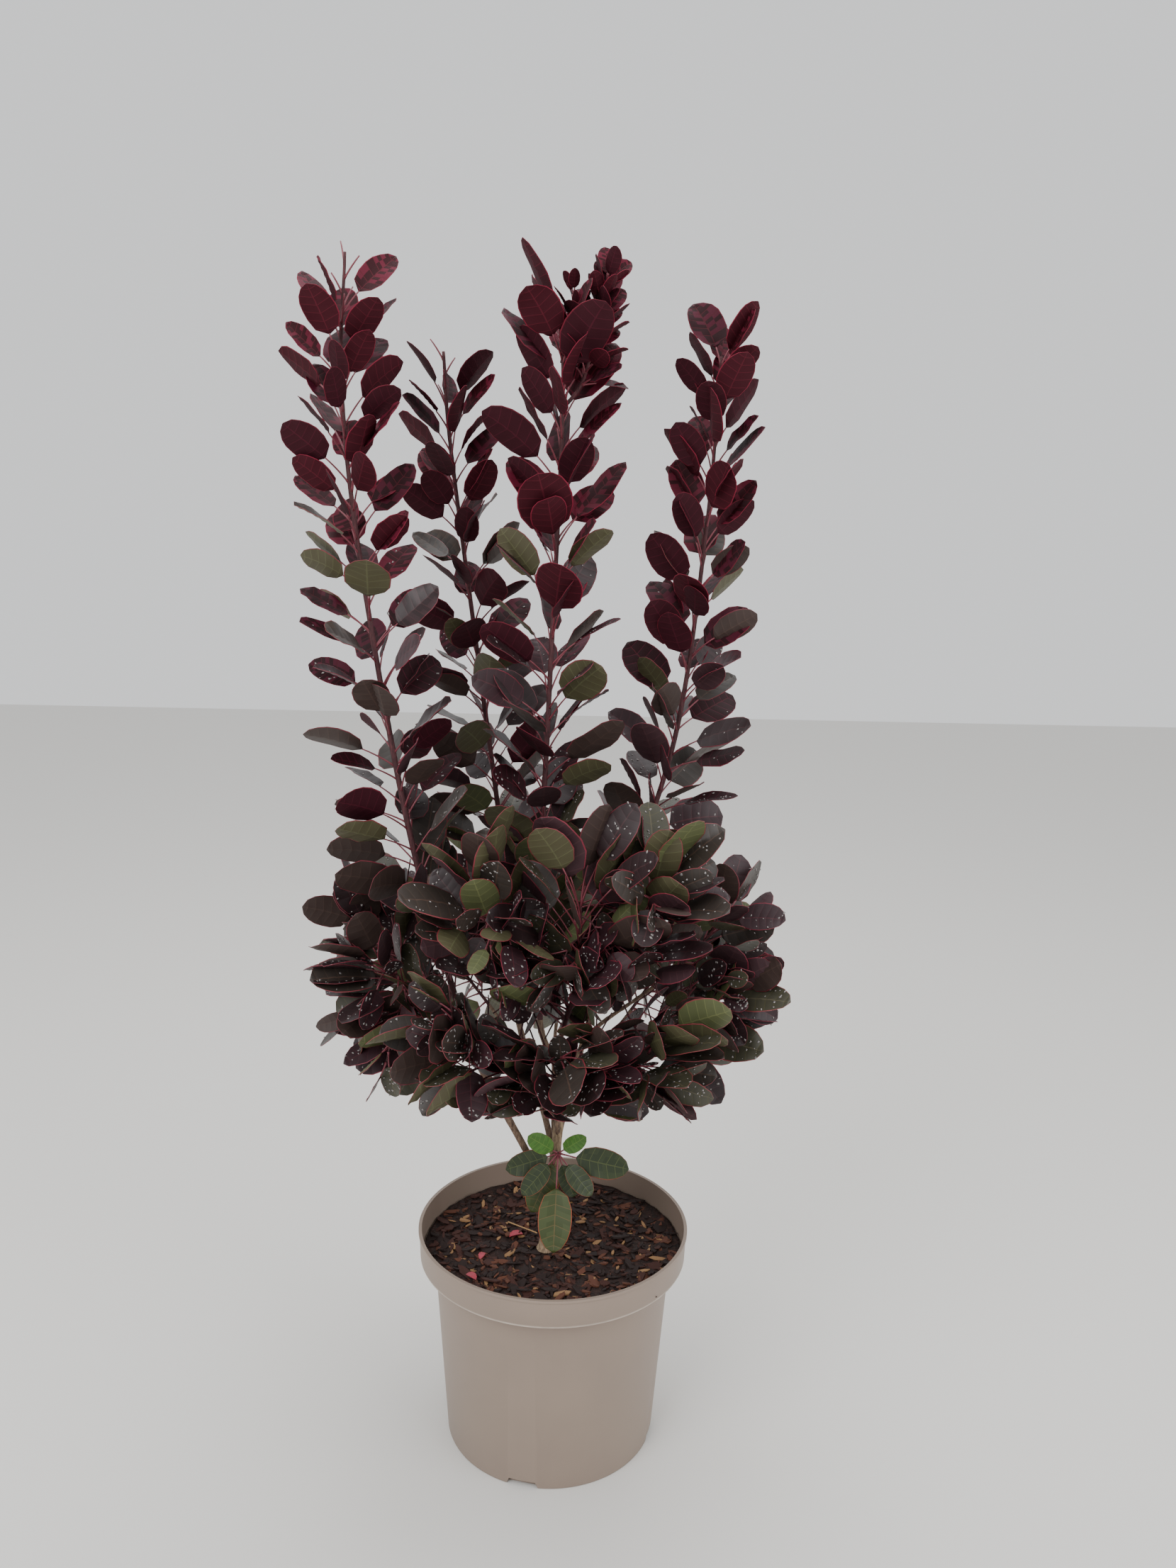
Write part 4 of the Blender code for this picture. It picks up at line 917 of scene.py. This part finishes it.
def add_speck(store, rows, ahead, rng):
    """Add one dried water speck, a small four-cornered scale that stands on a blade's upper side."""
    verts, faces, tints = store
    i, j = rng.randrange(2, len(rows) - 3), rng.randrange(1, len(COLUMNS) - 2)
    points, normals = rows[i]
    on_blade = (points[j] + rows[i + 1][0][j + 1]) / 2
    sideways = unit(points[j + 1] - points[j])
    middle = on_blade + normals[j] * (BLADE_THICKNESS / 2 + SPECK_LIFT)
    middle = middle + sideways * rng.uniform(-SPECK_SHIFT, SPECK_SHIFT)
    size, spin = rng.uniform(*SPECK_HALF), rng.uniform(*SPECK_SPIN)
    first = len(verts)
    for k in range(4):
        turn = spin + k * math.pi / 2
        way = sideways * math.cos(turn) + ahead * math.sin(turn)
        verts.append(tuple(middle + way * size * rng.uniform(*SPECK_SCATTER)))
    verts.append(tuple(on_blade))
    faces += [(first, first + 1, first + 2, first + 3)]
    faces += [(first + (k + 1) % 4, first + k, first + 4) for k in range(4)]
    tints += [SPECK] * 5


def grow_leaf(store, leaf, family, rng, specks, mottled):
    """Add one leaf's closed blade to the store of vertices, faces and tints."""
    verts, faces, tints = store
    places, frames = spine_of(leaf)
    rows, kinds = blade_rows(leaf, places, frames, rng)
    base = FAMILIES.index(family) * len(LEAF_PARTS)
    count, columns, first = len(rows), len(COLUMNS), len(verts)
    for surface in (0.5, -0.5):
        for points, normals in rows:
            verts += [tuple(p) for p in points + normals * surface * BLADE_THICKNESS]
    under = first + count * columns
    paler = [[mottled and rng.random() < share for share in MOTTLED_SHARES] for _ in range(count)]
    for i in range(count - 1):
        for j in range(columns - 1):
            a = first + i * columns + j
            b = under + i * columns + j
            faces.append((a, a + 1, a + columns + 1, a + columns))
            faces.append((b, b + columns, b + columns + 1, b + 1))
            if j in (0, columns - 2):
                tints += [base + MARGIN, base + MARGIN]
            elif j == (columns - 2) // 2:
                tints += [base + VEIN, base + VEIN_UNDER]
            elif kinds[i] == "vein":
                tints += [base + (VEIN if mottled else PANEL), base + VEIN_UNDER]
            else:
                tints += [base + (PANEL if paler[i][j] else UPPER), base + UNDER]
    # The margin's own thickness closes the blade all round.
    border = [i * columns for i in range(count)]
    border += [(count - 1) * columns + j for j in range(1, columns)]
    border += [i * columns + columns - 1 for i in range(count - 2, -1, -1)]
    border += range(columns - 2, 0, -1)
    for p, q in zip(border, border[1:] + border[:1]):
        faces.append((first + p, first + q, under + q, under + p))
        tints.append(base + MARGIN)
    for _ in range(specks):
        add_speck(store, rows, unit(places[-1] - places[-3]), rng)


def leaf_family(height, rng):
    """Which family of colours a leaf at this height takes."""
    for lowest, families, shares in LEAF_ZONES:
        if height > lowest:
            return rng.choices(families, shares)[0]


def speck_count(height, rng):
    """How many dried water specks a leaf at this height bears."""
    if height < SPLASHED_HEIGHT:
        return rng.randrange(*SPLASHED_SPECKS)
    return rng.randrange(*SOME_SPECKS) if height < CLEAN_HEIGHT else 0


# Stems and leaf stalks: green wood with a thin plum-brown skin, swollen a little at each node,
# and smooth pinkish red stalks with a soft gloss.
STEM_STEP, STEM_SIDES, TWIG_SIDES, STEM_TAPER = 0.006, 10, 7, 0.6
NODE_SWELL, NODE_SPACING, NODE_SHARPNESS = 0.00018, 0.0125, 6
STALK_RINGS, STALK_SIDES, STALK_RADII, STALK_FOOT_RADIUS = 6, 5, (0.00105, 0.0007), 0.0015
STALK_SHARE, STUB_SHARE = 1.02, 0.9
stem_bark = bark_material("plum_brown_shoot", "2c1418", "5c3034", 2.174, 0.0003)
stalk_material = plain_material("pinkish_red_leaf_stalk", "7c3a44", 0.45)


def stem_radii(pair, count):
    """A stem stays thick for most of its length and thins quickly near its tip."""
    return [pair[1] + (pair[0] - pair[1]) * (1 - index / (count - 1)) ** STEM_TAPER for index in range(count)]


def node_relief(run, turn):
    return NODE_SWELL * max(0.0, math.cos(run * 2 * math.pi / NODE_SPACING)) ** NODE_SHARPNESS


def no_relief(run, turn):
    return 0.0


def stalk_tube(verts, faces, leaf, stub):
    """A thin curved leaf stalk from inside the stem to the blade's foot; a stub ends before it."""
    places, _ = spine_of(leaf)
    share = STUB_SHARE if stub else STALK_SHARE
    marks = np.linspace(0, share * leaf.petiole / (leaf.petiole + leaf.blade) * SPINE_STEPS, STALK_RINGS)
    path = np.column_stack([np.interp(marks, range(len(places)), places[:, k]) for k in range(3)])
    thickness = np.linspace(*STALK_RADII, STALK_RINGS)
    thickness[0] = STALK_FOOT_RADIUS
    tube(verts, faces, path, thickness, STALK_SIDES, no_relief)


def finish_foliage(name, stem_store, stalk_store, leaf_store, slot):
    """Join a mass's stems, leaf stalks and leaves into three pieces that stand for its node."""
    finish_piece("stems_" + name, *stem_store, stem_bark, ["leaves_" + name], slot)
    finish_piece("stalks_" + name, *stalk_store, stalk_material, ["leaves_" + name], slot)
    verts, faces, tints = leaf_store
    used = sorted(set(tints))
    blades = tinted_piece("blades_" + name, verts, faces, [used.index(tint) for tint in tints],
                          [leaf_materials[tint] for tint in used])
    blades.data.polygons.foreach_set("use_smooth", [True] * len(faces))
    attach(blades, "root")
    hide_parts("leaves_" + name)


# The masses of leaves: every shoot bears its first leaves and a second, slightly smaller set
# between them. Those that aren't tall have a lighter second set, and short side twigs as well.
SECOND_LEAVES, SKIRT_SECOND_LEAVES, SECOND_SIZE, SECOND_TURN = 0.9, 0.35, 0.95, 68
SECOND_GAP, TWIG_GAP = 0.055, 0.08
TWIG_EVERY, TWIG_LENGTH, TWIG_LENGTH_SCATTER, TWIG_MIDDLE_LIFT = 0.024, 0.046, (0.7, 1.2), 0.3
TWIG_FIRST_SHARE, TWIG_SPAN_SHARE = 0.12, 0.80
TWIG_TURN, TWIG_TURN_STEP, TWIG_TURN_SCATTER, TWIG_LEAN = 30, 99.5, 20, (45, 95)
TWIG_RADII, TWIG_BARE_SHARE, TWIG_STALK, TWIG_LEAF_LEAN = (0.0010, 0.0006), 0.30, (0.016, 0.012), (74, 20)
# Two rounds of twigs: how many leaves each bears, their size, and how far it rises or hangs.
TWIG_KINDS = ((6, 0.74, 0.5), (6, 0.52, 1.2))
# Numbers that give the second leaves and the twigs' leaves draws of their own.
SECOND_NUMBER, TWIG_NUMBER, TWIG_NUMBERS_PER_STEM = 10, 20, 100


def second_leaves(stem, share):
    """The stem as it bears its second set of leaves, a share of the first and turned from it."""
    return stem._replace(leaves=round(stem.leaves * share), phase=stem.phase + SECOND_TURN, stubs=0,
                         petiole=tuple(SECOND_SIZE * value for value in stem.petiole),
                         blade=tuple(SECOND_SIZE * value for value in stem.blade))


def finer_twigs(shoot, stem, stem_index):
    """Short leafy side twigs along a stem; those of the low shoots rise and the others hang."""
    rng = random.Random(f"twigs {shoot.name} {stem_index}")
    path = smooth_path(stem.path, AXIS_STEP)
    count = max(2, round((len(path) - 1) * AXIS_STEP / TWIG_EVERY))
    twigs = []
    for leaves, size, rise in TWIG_KINDS:
        for index in range(count):
            root, along = point_on(path, TWIG_FIRST_SHARE + TWIG_SPAN_SHARE * index / (count - 1))
            azimuth = stem.phase + TWIG_TURN + TWIG_TURN_STEP * len(twigs)
            azimuth += rng.uniform(-TWIG_TURN_SCATTER, TWIG_TURN_SCATTER)
            lean = math.radians(rng.uniform(*TWIG_LEAN))
            ahead = math.cos(lean) * along + math.sin(lean) * away_from(along, math.radians(azimuth))
            length = TWIG_LENGTH * rng.uniform(*TWIG_LENGTH_SCATTER)
            lift = np.array([0, 0, (rise if shoot.name.startswith("low") else -rise) * length])
            middle, tip = root + ahead * length / 2 + lift * TWIG_MIDDLE_LIFT, root + ahead * length + lift
            path_points = (tuple(root), tuple(middle), tuple(tip))
            blade = tuple(size * value for value in stem.blade)
            twigs.append(Stem(path_points, TWIG_RADII, leaves, TWIG_BARE_SHARE, 0, blade, TWIG_STALK,
                              TWIG_LEAF_LEAN, rng.uniform(0, 360)))
    return twigs


axes = {shoot.name: np.vstack([smooth_path(stem.path, AXIS_STEP) for stem in shoot.stems])
        for shoot in SHOOTS}
fine_limbs = {name: smooth_path(path, AXIS_STEP) for name, path in paths.items()}
limbs = np.vstack(list(fine_limbs.values()))
limb_radii = []
for name, limb in fine_limbs.items():
    shares, known_shares = np.linspace(0, 1, len(limb)), np.linspace(0, 1, len(radii[name]))
    limb_radii += list(np.interp(shares, known_shares, radii[name]))
for shoot in SHOOTS:
    tall = shoot.name.startswith("tall")
    others = np.vstack([axis for name, axis in axes.items() if name != shoot.name])
    room = Room(axes[shoot.name], others, limbs, np.array(limb_radii), [])
    reach = np.array(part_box("leaves_" + shoot.name))
    stem_store, stalk_store, leaf_store = ([], []), ([], []), ([], [], [])
    rng = random.Random("blades " + shoot.name)
    for stem_index, stem in enumerate(shoot.stems):
        path = smooth_path(stem.path, STEM_STEP)
        tube(*stem_store, path, stem_radii(stem.radius, len(path)), STEM_SIDES, node_relief)
        leaves = fitted_leaves(shoot.name, stem, stem_index, room, LEAF_GAP)
        more = second_leaves(stem, SECOND_LEAVES if tall else SKIRT_SECOND_LEAVES)
        leaves += fitted_leaves(shoot.name, more, stem_index + SECOND_NUMBER, room,
                                SECOND_GAP if tall else TWIG_GAP, reach)
        for twig_index, twig in enumerate([] if tall else finer_twigs(shoot, stem, stem_index)):
            number = TWIG_NUMBERS_PER_STEM * stem_index + twig_index + TWIG_NUMBER
            twig_leaves = fitted_leaves(shoot.name, twig, number, room, TWIG_GAP, reach)
            if twig_leaves:
                path = smooth_path(twig.path, STEM_STEP)
                tube(*stem_store, path, stem_radii(twig.radius, len(path)), TWIG_SIDES, no_relief)
                leaves += twig_leaves
        for leaf, stub in leaves:
            stalk_tube(*stalk_store, leaf, stub)
            if not stub:
                height = leaf.root[2]
                specks = speck_count(height, rng)
                family = leaf_family(height, rng)
                grow_leaf(leaf_store, leaf, family, rng, specks, height > MOTTLED_HEIGHT)
    finish_foliage(shoot.name, stem_store, stalk_store, leaf_store, "leaves")


# Sprout: the young soft shoot that grew from a bud on the trunk. Its leaves are mostly olive
# with thin orange-red margins; two bright green ones stand above, and two bronze ones hang down.
# Each leaf: heading in the front view, tilt to the viewer, stalk's and blade's length, colours.
SPROUT_FORK, SPROUT_REACH, SPROUT_OVERLAP = 0.72, (0.003, -0.016, 0.006), 0.002
SPROUT_RADII, SPROUT_RINGS, SPROUT_SIDES = (0.0016, 0.0013), 6, 10
SPROUT_LEAF_STEP, SPROUT_LEAF_BREADTH, SPROUT_LEAF_BEND = 0.0004, 0.62, 6
SPROUT_UPPER_WAY = np.array([0.0, -1.0, 0.35])
SPROUT_LEAVES = (
    (268, 28, 0.036, 0.064, "young_bronze"), (222, 30, 0.016, 0.041, "young_olive"),
    (318, 30, 0.016, 0.040, "young_olive"), (138, 24, 0.008, 0.037, "young_green"),
    (42, 20, 0.008, 0.032, "young_green"), (196, 8, 0.010, 0.046, "young_olive"),
    (352, 10, 0.018, 0.057, "young_olive"), (246, 12, 0.010, 0.056, "young_bronze"),
    (292, 14, 0.010, 0.036, "young_olive"),
)
foot, _ = point_on(paths["trunk"], SPROUT_FORK)
bud = foot + np.array(SPROUT_REACH)
leaf_root = bud - unit(bud - foot) * SPROUT_OVERLAP
stem_store, stalk_store, leaf_store = ([], []), ([], []), ([], [], [])
tube(*stem_store, np.linspace(foot, bud, SPROUT_RINGS), np.linspace(*SPROUT_RADII, SPROUT_RINGS),
     SPROUT_SIDES, no_relief)
rng = random.Random("sprout")
for index, (heading, to_viewer, petiole, blade, family) in enumerate(SPROUT_LEAVES):
    turn, tip_out = math.radians(heading), math.radians(to_viewer)
    ahead = np.array([math.cos(turn) * math.cos(tip_out), -math.sin(tip_out),
                      math.sin(turn) * math.cos(tip_out)])
    upper = unit(SPROUT_UPPER_WAY - ahead * np.dot(SPROUT_UPPER_WAY, ahead))
    leaf = Leaf(leaf_root + ahead * SPROUT_LEAF_STEP * index, upper, ahead, petiole, blade,
                blade * SPROUT_LEAF_BREADTH, math.radians(90), math.radians(SPROUT_LEAF_BEND), 0.0)
    stalk_tube(*stalk_store, leaf, False)
    grow_leaf(leaf_store, leaf, family, rng, 0, True)
finish_foliage("sprout", stem_store, stalk_store, leaf_store, "young_leaves")
